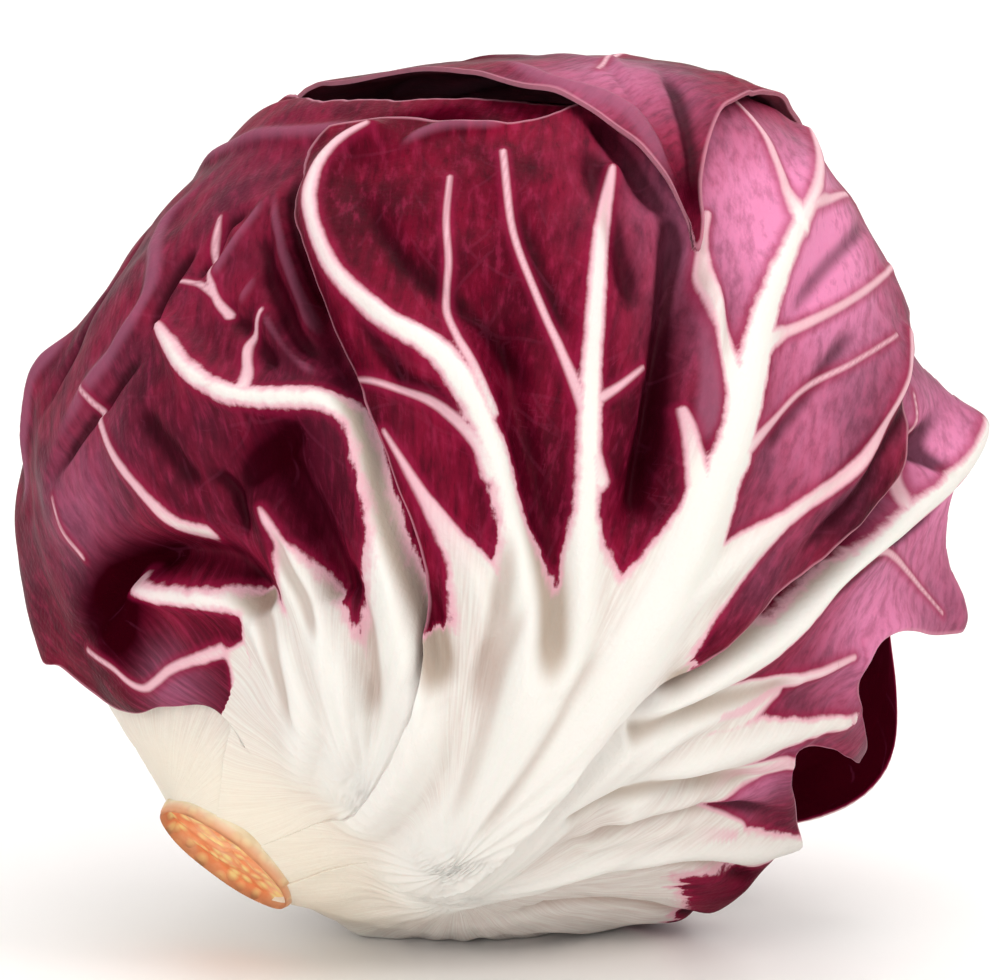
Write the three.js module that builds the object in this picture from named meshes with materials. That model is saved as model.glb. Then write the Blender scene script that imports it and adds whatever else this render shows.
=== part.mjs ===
// A head of round red radicchio lying on its side: a cut stem, a closed heart and six large
// wrapper leaves nested round it. Millimetres, +Z up, resting on z = 0 with its middle over the origin.
import * as THREE from 'three';

// ---- driving dimensions ----------------------------------------------------------------------
const BALL_RADIUS = 59.5; // front leaf, middle of the head to its outer face
const REST_HEIGHT = 59; // middle of the head above the surface it lies on
const LAYER_STEP = 2.8; // from one leaf's outer face to the next leaf's, inward
const BLADE_THICK = 1.15; // leaf blade between the ribs
const BASE_THICK = 1.7; // white fleshy part near the stem
const STEM_RADIUS = 10.6;
const STEM_REACH = 62.6; // middle of the head to the cut face
const STEM_ROOT = 56.4; // middle of the head to the stem's inner end, just clear of the heart
const STEM_DIRECTION = [-0.567, -0.428, -0.703]; // from the middle of the head to the cut face
const VIEW_SIDE = [0, -0.99, 0.139]; // the side that angle 0 round the stem axis faces
const RELIEF_SHARE = 0.9; // how much of the rib height the solid carries
const RELIEF_SPREAD = 1.1; // mm added to each rib's half-width, for the coarse mesh

// ---- head angles -----------------------------------------------------------------------------
// Every place on the head is [degrees down from the stem, degrees round the stem].
const rad = THREE.MathUtils.degToRad;
const deg = THREE.MathUtils.radToDeg;
const stemWay = new THREE.Vector3(...STEM_DIRECTION).normalize();
const viewWay = new THREE.Vector3(...VIEW_SIDE);
const roundZero = viewWay.clone().addScaledVector(stemWay, -viewWay.dot(stemWay)).normalize();
const roundNinety = new THREE.Vector3().crossVectors(stemWay, roundZero);

function way([down, round]) {
  const across = Math.sin(rad(down));
  return new THREE.Vector3()
    .addScaledVector(stemWay, Math.cos(rad(down)))
    .addScaledVector(roundZero, across * Math.cos(rad(round)))
    .addScaledVector(roundNinety, across * Math.sin(rad(round)));
}

const smooth = (low, high, x) => THREE.MathUtils.smoothstep(x, low, high);
const angleBetween = (a, b) => deg(Math.acos(THREE.MathUtils.clamp(a.dot(b), -1, 1)));
const swell = (direction, { at, wide, high }) =>
  high * Math.exp(-((angleBetween(direction, way(at)) / wide) ** 2));

// ---- ribs and pleats, shared by all the leaves so that they nest --------------------------------
// half: half-width at the base and at the tip, mm. high: height there, mm.
const RIBS = [
  // front leaf: middle rib and its twig, great rib and its side rib, the curled rib
  { path: [[24, -58], [36, -44], [50, -31], [62, -21], [70, -14], [79, -7], [89, 0], [101, 7],
    [109, 11], [115, 14]],
    half: [4, 1.8], high: [2.6, 2] },
  { path: [[81, -6], [86, 0], [92, 9], [99, 18], [109, 27]], half: [2, 1.2], high: [1.4, 1] },
  { path: [[24, -62], [35, -48], [51, -35], [69, -27], [90, -20], [108, -14], [121, -12], [136, -12],
    [155, -9]], half: [5.5, 2.2], high: [4, 2.4] },
  { path: [[73, -25], [80, -26], [93, -31], [107, -37], [120, -40], [133, -44]],
    half: [2.8, 1.4], high: [2, 1.2] },
  { path: [[24, -52], [39, -36], [52, -25], [60, -17], [67, -7], [75, 4], [80, 15], [80.5, 24],
    [83, 33], [88, 40], [94, 45], [99, 46], [103, 44]],
    half: [5, 2.4], high: [4.2, 3] },
  // left leaf: the bent rib, the short rib and the flap's rib
  { path: [[24, -25], [39, -15], [48, -3], [56, 7], [63, 15], [69, 24], [65, 37], [65, 45], [68, 53],
    [70, 57]], half: [4.2, 2.2], high: [4.2, 3.2] },
  { path: [[24, -14], [33, -6], [41, 9], [48, 21], [53, 29]], half: [3.6, 2], high: [3.2, 1.6] },
  { path: [[22, -5], [31, 5], [37, 18], [40, 28], [38, 45], [38, 58]], half: [3, 2.2], high: [2.8, 2.8] },
  // right leaf: three ribs
  { path: [[30, -58], [50, -43], [70, -39], [82, -43], [95, -46], [109, -53], [121, -62.5], [130, -68]],
    half: [4.5, 2.8], high: [3.4, 3.2] },
  { path: [[30, -62], [46, -48], [61, -44], [70, -46], [79, -51], [90, -58]], half: [3.4, 2], high: [3, 2] },
  { path: [[18, -92], [32, -66], [48, -66], [59, -72], [68, -80], [76, -88]],
    half: [3.4, 2.4], high: [2.6, 2] },
  // leaf over the top: middle rib and two pairs of side ribs
  { path: [[16, 165], [45, 168], [75, 172], [105, 176], [140, 180], [170, 175]],
    half: [6.5, 2.6], high: [4, 2.2] },
  { path: [[40, 165], [60, 152], [85, 144], [112, 138], [130, 128]], half: [3.4, 1.8], high: [2.6, 1.6] },
  { path: [[40, 171], [60, 186], [85, 196], [112, 206], [130, 222]], half: [3.4, 1.8], high: [2.6, 1.6] },
  // back leaves
  { path: [[16, 100], [45, 106], [75, 110], [110, 112], [140, 100]], half: [4.5, 2], high: [3, 1.6] },
  { path: [[45, 108], [70, 122], [95, 130], [118, 128]], half: [2.8, 1.6], high: [2, 1.2] },
  { path: [[16, -125], [42, -128], [75, -122], [105, -118], [135, -112]], half: [4.5, 2], high: [3, 1.8] },
  { path: [[60, -124], [78, -138], [100, -146], [122, -150]], half: [2.8, 1.6], high: [2, 1.2] },
  { path: [[60, -122], [76, -106], [95, -98], [116, -92]], half: [2.8, 1.6], high: [2, 1.2] },
];
const PLEATS = [
  { path: [[46, -13], [53, -3], [61, 11], [68, 19], [76, 31], [84, 42]], half: 3.2, deep: 3.8 },
  { path: [[57, -23], [65, -14], [71, -6], [76, 0], [82, 7], [90, 15]], half: 3, deep: 3.4 },
  { path: [[78, -16], [88, -11], [100, -6], [112, -2]], half: 3, deep: 3.4 },
  { path: [[65, -35], [76, -38], [90, -42], [104, -46], [118, -54]], half: 2.8, deep: 3.4 },
  { path: [[59, -38], [68, -43], [82, -54]], half: 2.6, deep: 2.4 },
  { path: [[46, -49], [58, -52], [72, -66]], half: 2.6, deep: 2.4 },
  { path: [[47, 10], [53, 19], [60, 31]], half: 2.8, deep: 3.6 },
  { path: [[40, 22], [44, 34], [42, 50], [39, 66]], half: 3.4, deep: 4 },
  { path: [[40, 180], [70, 182], [100, 190], [125, 202]], half: 4, deep: 1.6 },
  { path: [[40, 158], [70, 160], [100, 160], [125, 156]], half: 4, deep: 1.6 },
];

function crest(path) {
  const curve = new THREE.CatmullRomCurve3(path.map(way), false, 'centripetal');
  return curve.getPoints(path.length * 4).map((point) => point.normalize());
}
for (const line of [...RIBS, ...PLEATS]) line.crest = crest(line.path);

// Distance to a crest in mm, and how far along it the nearest point lies, 0 to 1.
function nearest(direction, line) {
  let best = Infinity;
  let along = 0;
  for (let i = 0; i + 1 < line.length; i += 1) {
    const span = line[i + 1].clone().sub(line[i]);
    const share = THREE.MathUtils.clamp(direction.clone().sub(line[i]).dot(span) / span.lengthSq(), 0, 1);
    const gap = direction.distanceTo(line[i].clone().addScaledVector(span, share));
    if (gap < best) {
      best = gap;
      along = (i + share) / (line.length - 1);
    }
  }
  return [best * BALL_RADIUS, along];
}

function relief(direction) {
  const down = angleBetween(direction, stemWay);
  let raised = 0;
  for (const rib of RIBS) {
    const [gap, along] = nearest(direction, rib.crest);
    const half = THREE.MathUtils.lerp(...rib.half, along) + RELIEF_SPREAD;
    const high = THREE.MathUtils.lerp(...rib.high, along) * RELIEF_SHARE;
    raised += (high * Math.exp(-((gap / half) ** 2))) ** 4;
  }
  let sunk = 0;
  for (const pleat of PLEATS) {
    const [gap] = nearest(direction, pleat.crest);
    sunk += (pleat.deep * RELIEF_SHARE * Math.exp(-((gap / (pleat.half + RELIEF_SPREAD)) ** 2))) ** 4;
  }
  return (raised ** 0.25 - sunk ** 0.25) * smooth(13, 34, down);
}

// ---- the ball that the leaves wrap -------------------------------------------------------------
const BALL_SWELLS = [
  { at: [155, 0], wide: 26, high: 3 }, // shoulder, high on the right
  { at: [122, 62], wide: 34, high: -1.8 }, // flatter over the top
  { at: [141, -54], wide: 13, high: -1.6 }, // flatter below the shoulder
  { at: [158, 2], wide: 7, high: 1.2 }, // the corner of the shoulder
  { at: [0, 0], wide: 12.5, high: 6 }, // the leaf bases hug the stem
];
const PUCKER_HIGH = 0.45;
const PUCKER_TURNS = [9.1, 7.3, 8.2]; // radians over the ball's radius, along X, Y and Z

function ballRadius(direction) {
  const [kx, ky, kz] = PUCKER_TURNS;
  const bent = Math.sin(direction.x * kx + 2 * Math.sin(direction.z * ky));
  const pucker = bent * Math.sin(direction.y * kz + 1.3);
  const shaped = BALL_SWELLS.reduce((sum, item) => sum + swell(direction, item), BALL_RADIUS);
  return shaped + PUCKER_HIGH * pucker;
}

// Nothing goes below the surface that the head lies on; deeper leaves stay clear above it.
function overFloor(radius, direction, clear) {
  if (direction.z > -0.2) return radius;
  return Math.min(radius, (REST_HEIGHT - clear) / -direction.z);
}

// ---- leaves ------------------------------------------------------------------------------------
// layer: how many steps below the front leaf. middle: degrees round the stem of the leaf's middle.
// left, right, tip: the outline in head angles. lift: how far each margin stands out, mm, as
// [near the base, middle, near the tip]. swells: places where the leaf bulges by itself.
const LEAVES = [
  {
    name: 'leaf_front', colour: 0x74102e, layer: 0, middle: -20, grid: [28, 28],
    left: [[11, -15], [23, -22], [35, -16], [46, -9], [52, -3], [57, 2], [62, 8], [67, 15], [71, 22],
      [77, 31], [84, 39], [91, 46], [98, 51], [103, 52]],
    tip: [[103, 52], [107, 44], [110, 36], [116, 29], [128, 26], [145, 24], [160, 16], [168, -20],
      [164, -70], [152, -62]],
    right: [[11, -78], [26, -58], [40, -44], [51, -37], [64, -34], [76, -36], [84, -38], [92, -40],
      [103, -43], [110, -45], [116, -44], [124, -43], [134, -46], [144, -54], [152, -62]],
    lift: { left: [-0.5, -0.3, 0.6], right: [-0.4, 0.6, 0.8], tip: [1.2, 0, 0] },
    swells: [],
  },
  {
    name: 'leaf_left', colour: 0x6a1030, layer: 1, middle: 45, grid: [24, 26],
    left: [[11.4, 22], [17, 23], [25, 24], [26, 33], [24, 52], [22, 68], [24, 86], [31, 98], [36, 106],
      [55, 110], [75, 112], [95, 114], [108, 112]],
    tip: [[108, 112], [118, 98], [120, 80], [118, 64], [117, 50], [120, 38], [120, 30]],
    right: [[11.4, -52], [23, -36], [35, -26], [45, -17], [53, -9], [59, -3], [66, 6], [71, 12], [79, 21],
      [88, 29], [97, 33], [108, 30], [120, 30]],
    lift: { left: [0.6, 4.2, 0.6], right: [0, 0, 0], tip: [1, 1.6, 0.6] },
    swells: [
      { at: [78, 84], wide: 30, high: 2.6 },
      { at: [50, 84], wide: 20, high: 4.2 },
      { at: [55, 52], wide: 11, high: 3 },
      { at: [28, 52], wide: 13, high: 2.4 },
      { at: [112, 77], wide: 17, high: 3.2 },
      { at: [67, 96], wide: 8, high: 3 },
      { at: [32, 106], wide: 12, high: 2.4 },
    ],
  },
  {
    name: 'leaf_right', colour: 0x8a2a52, layer: 1, middle: -85, grid: [24, 26],
    left: [[11.4, -58], [26, -42], [40, -30], [51, -26], [64, -25], [72, -26], [85, -29], [93, -30],
      [103, -32], [113, -33], [123, -32], [134, -32]],
    tip: [[134, -32], [138, -46], [137, -58], [131, -67], [121, -71], [114, -75], [108, -80]],
    right: [[11.4, -140], [24, -146], [42, -148], [60, -138], [67, -118], [69, -102], [75, -90],
      [75.5, -79], [76, -69], [79, -66], [83, -72], [88, -83], [88, -72], [88.5, -63], [93, -60],
      [98, -63], [103, -72], [108, -80]],
    lift: { left: [0, 0, 0], right: [0, 0.2, 2.6], tip: [0.2, 2.6, 3] },
    swells: [
      { at: [131, -68], wide: 8.5, high: 4.6 },
      { at: [109, -78], wide: 6, high: 3 },
      { at: [85, -80], wide: 14, high: 2.4 },
      { at: [45, -123], wide: 30, high: 3.8 },
      { at: [66, -95], wide: 13, high: 5.2 },
    ],
  },
  {
    name: 'leaf_over_top', colour: 0x7c2444, layer: -0.75, middle: 170, grid: [18, 32],
    left: [[11, 132], [28, 128], [50, 131], [75, 136], [100, 133], [115, 108], [120.8, 86], [121.5, 60],
      [120, 43], [120.5, 31], [120.5, 20], [117.5, 10], [113, 1]],
    tip: [[113, 1], [111, -1], [111, -2]],
    right: [[11, 210], [28, 205], [50, 199], [75, 198], [100, 204], [122, 217], [142, 244], [158, 288],
      [166, 335], [158, 2], [146, 8], [134, 8], [122, 4], [111, -2]],
    lift: { left: [-0.3, 0.2, 0.2], right: [-0.3, 0.2, 0.2], tip: [0, 0, 0] },
    swells: [
      { at: [78, 168], wide: 58, high: -4.4 },
      { at: [138, 61], wide: 17, high: -3 },
    ],
  },
  {
    name: 'leaf_back_left', colour: 0x4a0820, layer: 2.4, middle: 85, grid: [14, 18],
    left: [[12, 160], [35, 152], [60, 145], [90, 142], [120, 140], [145, 120]],
    tip: [[145, 120], [150, 70], [140, 35], [130, 22]],
    right: [[12, -5], [30, 10], [50, 24], [75, 36], [100, 26], [118, 20], [130, 22]],
    lift: { left: [0, 0, 0], right: [0, 0, 0], tip: [0, 0, 0] },
    swells: [
      { at: [66, 134], wide: 26, high: 2.6 },
      { at: [22, 95], wide: 22, high: 4.4 },
      { at: [79, 36], wide: 16, high: -0.9 },
    ],
  },
  {
    name: 'leaf_back_right', colour: 0x480618, layer: 2.3, middle: -112, grid: [16, 18],
    left: [[12, -70], [35, -66], [60, -52], [80, -46], [105, -50], [130, -45], [148, -30]],
    tip: [[148, -30], [158, -90], [150, -150]],
    right: [[12, -168], [35, -172], [60, -170], [90, -168], [120, -170], [150, -150]],
    lift: { left: [0, 0, 0], right: [0, 0, 0], tip: [0, 0, 0] },
    swells: [
      { at: [98, -132], wide: 34, high: 3.4 },
      { at: [77, -48], wide: 14, high: -0.8 },
      { at: [92, -97], wide: 14, high: 10.5 },
    ],
  },
];

// A leaf's own flat map: s runs along its middle from the stem, t across it, both in degrees.
function flatMap(middle) {
  const out = way([90, middle]);
  const side = way([90, middle + 90]);
  const toMap = (place) => {
    const direction = way(place);
    const s = deg(Math.atan2(direction.dot(out), direction.dot(stemWay)));
    return new THREE.Vector2(s < -60 ? s + 360 : s, deg(Math.asin(direction.dot(side))));
  };
  const toWay = ({ x: s, y: t }) =>
    new THREE.Vector3()
      .addScaledVector(stemWay, Math.cos(rad(s)) * Math.cos(rad(t)))
      .addScaledVector(out, Math.sin(rad(s)) * Math.cos(rad(t)))
      .addScaledVector(side, Math.sin(rad(t)));
  return { toMap, toWay };
}

// A leaf's margin waves in and out, and up and down where nothing lies over it.
const MARGIN_WAVE = 1.1; // degrees
const MARGIN_RUFFLE = 0.55; // mm
const wave = (x, start) => Math.sin(x * 27 + start) * 0.6 + Math.sin(x * 44 + start * 2.3) * 0.4;

const three = (values, x) => (x < 0.5
  ? THREE.MathUtils.lerp(values[0], values[1], x * 2)
  : THREE.MathUtils.lerp(values[1], values[2], x * 2 - 1));

// Moves the inner points of a grid, by Winslow's equations, until no cell folds over another.
const SETTLE_CELLS = 32;
const SETTLE_ROUNDS = 700;
function settle(grid) {
  const sum = (...points) => points.reduce((total, point) => total.add(point), new THREE.Vector2());
  for (let round = 0; round < SETTLE_ROUNDS; round += 1) {
    for (let j = 1; j < SETTLE_CELLS; j += 1) {
      for (let i = 1; i < SETTLE_CELLS; i += 1) {
        const across = grid[j][i + 1].clone().sub(grid[j][i - 1]);
        const along = grid[j + 1][i].clone().sub(grid[j - 1][i]);
        const [a, b, c] = [along.lengthSq(), across.dot(along), across.lengthSq()];
        const twist = sum(grid[j + 1][i + 1], grid[j - 1][i - 1])
          .sub(sum(grid[j + 1][i - 1], grid[j - 1][i + 1]));
        grid[j][i] = sum(grid[j][i - 1], grid[j][i + 1]).multiplyScalar(a)
          .addScaledVector(sum(grid[j - 1][i], grid[j + 1][i]), c)
          .addScaledVector(twist, -b / 2)
          .divideScalar(2 * (a + c));
      }
    }
  }
  return grid;
}

// The four margins of a leaf and a place between them: u from the left margin to the right one,
// v from the stem to the tip.
function leafPatch(leaf) {
  const { toMap, toWay } = flatMap(leaf.middle);
  const edge = (places) => new THREE.SplineCurve(places.map(toMap));
  const left = edge(leaf.left);
  const right = edge(leaf.right);
  const tip = edge(leaf.tip);
  const [baseLeft, baseRight] = [leaf.left[0], leaf.right[0]];
  const base = (u) => toMap([baseLeft[0], THREE.MathUtils.lerp(baseLeft[1], baseRight[1], u)]);
  const blended = (u, v) => {
    const across = left.getPointAt(v).multiplyScalar(1 - u).addScaledVector(right.getPointAt(v), u);
    const along = base(u).multiplyScalar(1 - v).addScaledVector(tip.getPointAt(u), v);
    const free = Math.sin(Math.PI * v);
    across.y += MARGIN_WAVE * free * wave(v, leaf.middle) * (2 * u - 1) ** 7;
    const corners = base(0).multiplyScalar((1 - u) * (1 - v))
      .addScaledVector(base(1), u * (1 - v))
      .addScaledVector(tip.getPointAt(0), (1 - u) * v)
      .addScaledVector(tip.getPointAt(1), u * v);
    return across.add(along).sub(corners);
  };
  const grid = () => Array.from({ length: SETTLE_CELLS + 1 }, (_, j) =>
    Array.from({ length: SETTLE_CELLS + 1 }, (__, i) => blended(i / SETTLE_CELLS, j / SETTLE_CELLS)));
  const start = grid();
  const moved = settle(grid()).map((row, j) => row.map((point, i) => point.sub(start[j][i])));
  return (u, v) => {
    const [i, j] = [u, v].map((x) => Math.min(Math.floor(x * SETTLE_CELLS), SETTLE_CELLS - 1));
    const [right, high] = [u * SETTLE_CELLS - i, v * SETTLE_CELLS - j];
    const low = moved[j][i].clone().lerp(moved[j][i + 1], right);
    const top = moved[j + 1][i].clone().lerp(moved[j + 1][i + 1], right);
    return toWay(blended(u, v).add(low.lerp(top, high)));
  };
}

function leafRadii(leaf, direction, u, v) {
  const depth = leaf.layer * LAYER_STEP;
  const lift = leaf.lift;
  const margin =
    three(lift.left, v) * Math.exp(-((u / 0.1) ** 2)) +
    three(lift.right, v) * Math.exp(-(((1 - u) / 0.1) ** 2)) +
    three(lift.tip, u) * Math.exp(-(((1 - v) / 0.1) ** 2));
  const own = leaf.swells.reduce((sum, item) => sum + swell(direction, item), 0);
  const edge = smooth(0, 0.12, Math.min(u, 1 - u, 1 - v));
  const ruffle = MARGIN_RUFFLE * (1 - edge) * Math.sin(Math.PI * v) * wave(u + v, leaf.middle + 1);
  const outer = ballRadius(direction) + relief(direction) - depth + margin + ruffle + own;
  const down = angleBetween(direction, stemWay);
  const thick = THREE.MathUtils.lerp(BASE_THICK, BLADE_THICK, smooth(30, 75, down));
  const inner = outer - THREE.MathUtils.lerp(0.95, thick, edge);
  const clear = Math.max(leaf.layer - 1, 0) * LAYER_STEP;
  const held = overFloor(outer, direction, clear);
  return [held, Math.min(inner, held - 0.95)];
}

// Closes an outer and an inner grid of points with a rim, as one solid. Each cell is split along
// the diagonal that lies nearer to the leaf's true middle there, and alike on both faces.
function gridSolid(outer, inner, columns, rows, cellMiddle) {
  const points = [...outer, ...inner];
  const half = outer.length;
  const at = (i, j) => j * (columns + 1) + i;
  const faces = [];
  const quad = (a, b, c, d) => faces.push([a, b, c], [a, c, d]);
  for (let j = 0; j < rows; j += 1) {
    for (let i = 0; i < columns; i += 1) {
      let cell = [at(i, j), at(i + 1, j), at(i + 1, j + 1), at(i, j + 1)];
      const middle = cellMiddle(i, j);
      const miss = (a, b) => points[a].clone().lerp(points[b], 0.5).distanceTo(middle);
      if (miss(cell[1], cell[3]) < miss(cell[0], cell[2])) cell = [...cell.slice(1), cell[0]];
      const [a, b, c, d] = cell;
      quad(a, b, c, d);
      faces.push([half + a, half + c, half + b], [half + a, half + d, half + c]);
    }
  }
  for (let i = 0; i < columns; i += 1) {
    quad(at(i + 1, 0), at(i, 0), half + at(i, 0), half + at(i + 1, 0));
    quad(at(i, rows), at(i + 1, rows), half + at(i + 1, rows), half + at(i, rows));
  }
  for (let j = 0; j < rows; j += 1) {
    quad(at(0, j), at(0, j + 1), half + at(0, j + 1), half + at(0, j));
    quad(at(columns, j + 1), at(columns, j), half + at(columns, j), half + at(columns, j + 1));
  }
  return solid(points, faces);
}

// One closed solid; its faces are turned outward.
function solid(points, faces) {
  const volume = faces.reduce((sum, [a, b, c]) =>
    sum + points[a].dot(new THREE.Vector3().crossVectors(points[b], points[c])), 0);
  const turned = volume > 0 ? faces : faces.map(([a, b, c]) => [a, c, b]);
  const geometry = new THREE.BufferGeometry();
  geometry.setAttribute('position', new THREE.Float32BufferAttribute(points.flatMap((p) => p.toArray()), 3));
  geometry.setIndex(turned.flat());
  geometry.computeVertexNormals();
  return geometry;
}

const middleOfHead = new THREE.Vector3(0, 0, REST_HEIGHT);
const outTo = (direction, radius) => middleOfHead.clone().addScaledVector(direction, radius);

function leafGeometry(leaf) {
  const [columns, rows] = leaf.grid;
  const patch = leafPatch(leaf);
  const outer = [];
  const inner = [];
  for (let j = 0; j <= rows; j += 1) {
    for (let i = 0; i <= columns; i += 1) {
      const [u, v] = [i / columns, j / rows];
      const direction = patch(u, v);
      const [outerRadius, innerRadius] = leafRadii(leaf, direction, u, v);
      outer.push(outTo(direction, outerRadius));
      inner.push(outTo(direction, innerRadius));
    }
  }
  const cellMiddle = (i, j) => {
    const [u, v] = [(i + 0.5) / columns, (j + 0.5) / rows];
    const direction = patch(u, v);
    return outTo(direction, leafRadii(leaf, direction, u, v)[0]);
  };
  return gridSolid(outer, inner, columns, rows, cellMiddle);
}

// ---- heart: a core whose small leaves stand out as overlapping steps -----------------------------
const HEART_DEPTH = 2 * LAYER_STEP + 3.4;
const HEART_ROUND = 32;
const HEART_DOWN = 16;
const HEART_LEAVES = 5;

function heartRadius(direction, down, round) {
  const turn = (round / 360) * HEART_LEAVES + down / 95;
  const step = turn - Math.floor(turn);
  const shaped = ballRadius(direction) + Math.min(relief(direction), 0) - HEART_DEPTH;
  const standing = 1.2 * step * Math.sin(rad(down));
  return overFloor(shaped - 1.2 + standing, direction, HEART_DEPTH - 0.6);
}

function heartGeometry() {
  const points = [outTo(way([0, 0]), heartRadius(way([0, 0]), 0, 0))];
  for (let j = 1; j < HEART_DOWN; j += 1) {
    for (let i = 0; i < HEART_ROUND; i += 1) {
      const [down, round] = [(j / HEART_DOWN) * 180, (i / HEART_ROUND) * 360];
      const direction = way([down, round]);
      points.push(outTo(direction, heartRadius(direction, down, round)));
    }
  }
  points.push(outTo(way([180, 0]), heartRadius(way([180, 0]), 180, 0)));
  const at = (i, j) => 1 + (j - 1) * HEART_ROUND + (i % HEART_ROUND);
  const last = points.length - 1;
  const faces = [];
  for (let i = 0; i < HEART_ROUND; i += 1) {
    faces.push([0, at(i, 1), at(i + 1, 1)], [last, at(i + 1, HEART_DOWN - 1), at(i, HEART_DOWN - 1)]);
    for (let j = 1; j + 1 < HEART_DOWN; j += 1) {
      faces.push([at(i, j), at(i, j + 1), at(i + 1, j + 1)], [at(i, j), at(i + 1, j + 1), at(i + 1, j)]);
    }
  }
  return solid(points, faces);
}

// ---- stem: a short stub with a worn, slightly domed cut face -------------------------------------
const STEM_SIDES = 28;
const STEM_RINGS = [
  // [distance from the middle of the head, radius]
  [STEM_ROOT, STEM_RADIUS * 0.94],
  [STEM_REACH - 6, STEM_RADIUS],
  [STEM_REACH - 1.2, STEM_RADIUS * 1.02],
  [STEM_REACH - 0.2, STEM_RADIUS * 0.93],
  [STEM_REACH, STEM_RADIUS * 0.55],
];

function stemGeometry() {
  const points = [outTo(stemWay, STEM_ROOT)];
  for (const [reach, radius] of STEM_RINGS) {
    for (let i = 0; i < STEM_SIDES; i += 1) {
      const turn = (i / STEM_SIDES) * Math.PI * 2;
      const worn = radius * (1 - 0.02 + 0.02 * Math.sin(turn * 3 + 1));
      points.push(outTo(stemWay, reach)
        .addScaledVector(roundZero, worn * Math.cos(turn))
        .addScaledVector(roundNinety, worn * Math.sin(turn)));
    }
  }
  points.push(outTo(stemWay, STEM_REACH - 0.3));
  const at = (i, ring) => 1 + ring * STEM_SIDES + (i % STEM_SIDES);
  const last = points.length - 1;
  const faces = [];
  for (let i = 0; i < STEM_SIDES; i += 1) {
    faces.push([0, at(i + 1, 0), at(i, 0)]);
    for (let ring = 0; ring + 1 < STEM_RINGS.length; ring += 1) {
      faces.push([at(i, ring), at(i + 1, ring), at(i + 1, ring + 1)]);
      faces.push([at(i, ring), at(i + 1, ring + 1), at(i, ring + 1)]);
    }
    faces.push([last, at(i, STEM_RINGS.length - 1), at(i + 1, STEM_RINGS.length - 1)]);
  }
  return solid(points, faces);
}

// ---- the head ------------------------------------------------------------------------------------
function piece(name, geometry, colour, roughness) {
  const material = new THREE.MeshStandardMaterial({ color: colour, roughness, metalness: 0 });
  const mesh = new THREE.Mesh(geometry, material);
  mesh.name = name;
  return mesh;
}

const head = new THREE.Group();
head.name = 'radicchio_head';
head.add(piece('stem', stemGeometry(), 0xe8935a, 0.75));
head.add(piece('heart', heartGeometry(), 0x8c1c40, 0.5));
for (const leaf of LEAVES) head.add(piece(leaf.name, leafGeometry(leaf), leaf.colour, 0.45));

export default head;
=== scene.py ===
"""A head of round red radicchio lying on its side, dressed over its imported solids.

Each wrapper leaf is a fine two-sided blade that follows the same outline, ribs and pleats as its
solid. Lengths are in millimetres until a mesh is made, and places on the head are
[degrees down from the stem, degrees round the stem].
"""

import math

import bpy
import numpy as np
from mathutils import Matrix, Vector


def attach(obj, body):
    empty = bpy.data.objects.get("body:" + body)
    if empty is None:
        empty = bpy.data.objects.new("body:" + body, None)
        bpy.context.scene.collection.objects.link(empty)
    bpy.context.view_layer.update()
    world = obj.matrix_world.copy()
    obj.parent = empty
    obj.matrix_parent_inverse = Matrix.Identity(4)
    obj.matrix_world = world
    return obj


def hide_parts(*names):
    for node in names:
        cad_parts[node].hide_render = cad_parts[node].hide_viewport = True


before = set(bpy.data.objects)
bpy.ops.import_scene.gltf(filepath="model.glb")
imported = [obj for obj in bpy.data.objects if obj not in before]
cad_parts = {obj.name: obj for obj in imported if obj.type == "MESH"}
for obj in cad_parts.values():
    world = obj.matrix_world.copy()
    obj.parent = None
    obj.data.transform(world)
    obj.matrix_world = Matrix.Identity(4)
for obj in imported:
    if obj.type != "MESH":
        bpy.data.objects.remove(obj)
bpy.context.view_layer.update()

# ---- driving dimensions, mm --------------------------------------------------------------------
MM = 0.001
BALL_RADIUS = 59.5
REST_HEIGHT = 59.0
LAYER_STEP = 2.8
BLADE_THICK = 1.15
BASE_THICK = 1.7
RIM_THICK = 0.6
STEM_RADIUS = 10.6
STEM_REACH = 62.6
STEM_ROOT = 56.4
RIB_SPREAD = 0.35  # added to each rib's half-width so that it swells out of the blade softly
SEED = 20

# ---- head angles -------------------------------------------------------------------------------


def unit(vectors):
    vectors = np.asarray(vectors, float)
    return vectors / np.linalg.norm(vectors, axis=-1, keepdims=True)


STEM_WAY = unit([-0.567, -0.428, -0.703])
VIEW_SIDE = np.array([0, -0.99, 0.139])
ROUND_ZERO = unit(VIEW_SIDE - (VIEW_SIDE @ STEM_WAY) * STEM_WAY)
ROUND_NINETY = np.cross(STEM_WAY, ROUND_ZERO)


def way(places):
    """Unit vectors from the middle of the head to places given in head angles."""
    down, around = np.moveaxis(np.radians(np.asarray(places, float)), -1, 0)
    return (
        np.cos(down)[..., None] * STEM_WAY
        + (np.sin(down) * np.cos(around))[..., None] * ROUND_ZERO
        + (np.sin(down) * np.sin(around))[..., None] * ROUND_NINETY
    )


def degrees_down(ways):
    return np.degrees(np.arccos(np.clip(ways @ STEM_WAY, -1, 1)))


def degrees_round(ways):
    return np.degrees(np.arctan2(ways @ ROUND_NINETY, ways @ ROUND_ZERO))


def smooth(low, high, x):
    t = np.clip((x - low) / (high - low), 0, 1)
    return t * t * (3 - 2 * t)


def swell(ways, at, wide, high):
    apart = np.degrees(np.arccos(np.clip(ways @ way(at), -1, 1)))
    return high * np.exp(-((apart / wide) ** 2))


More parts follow.
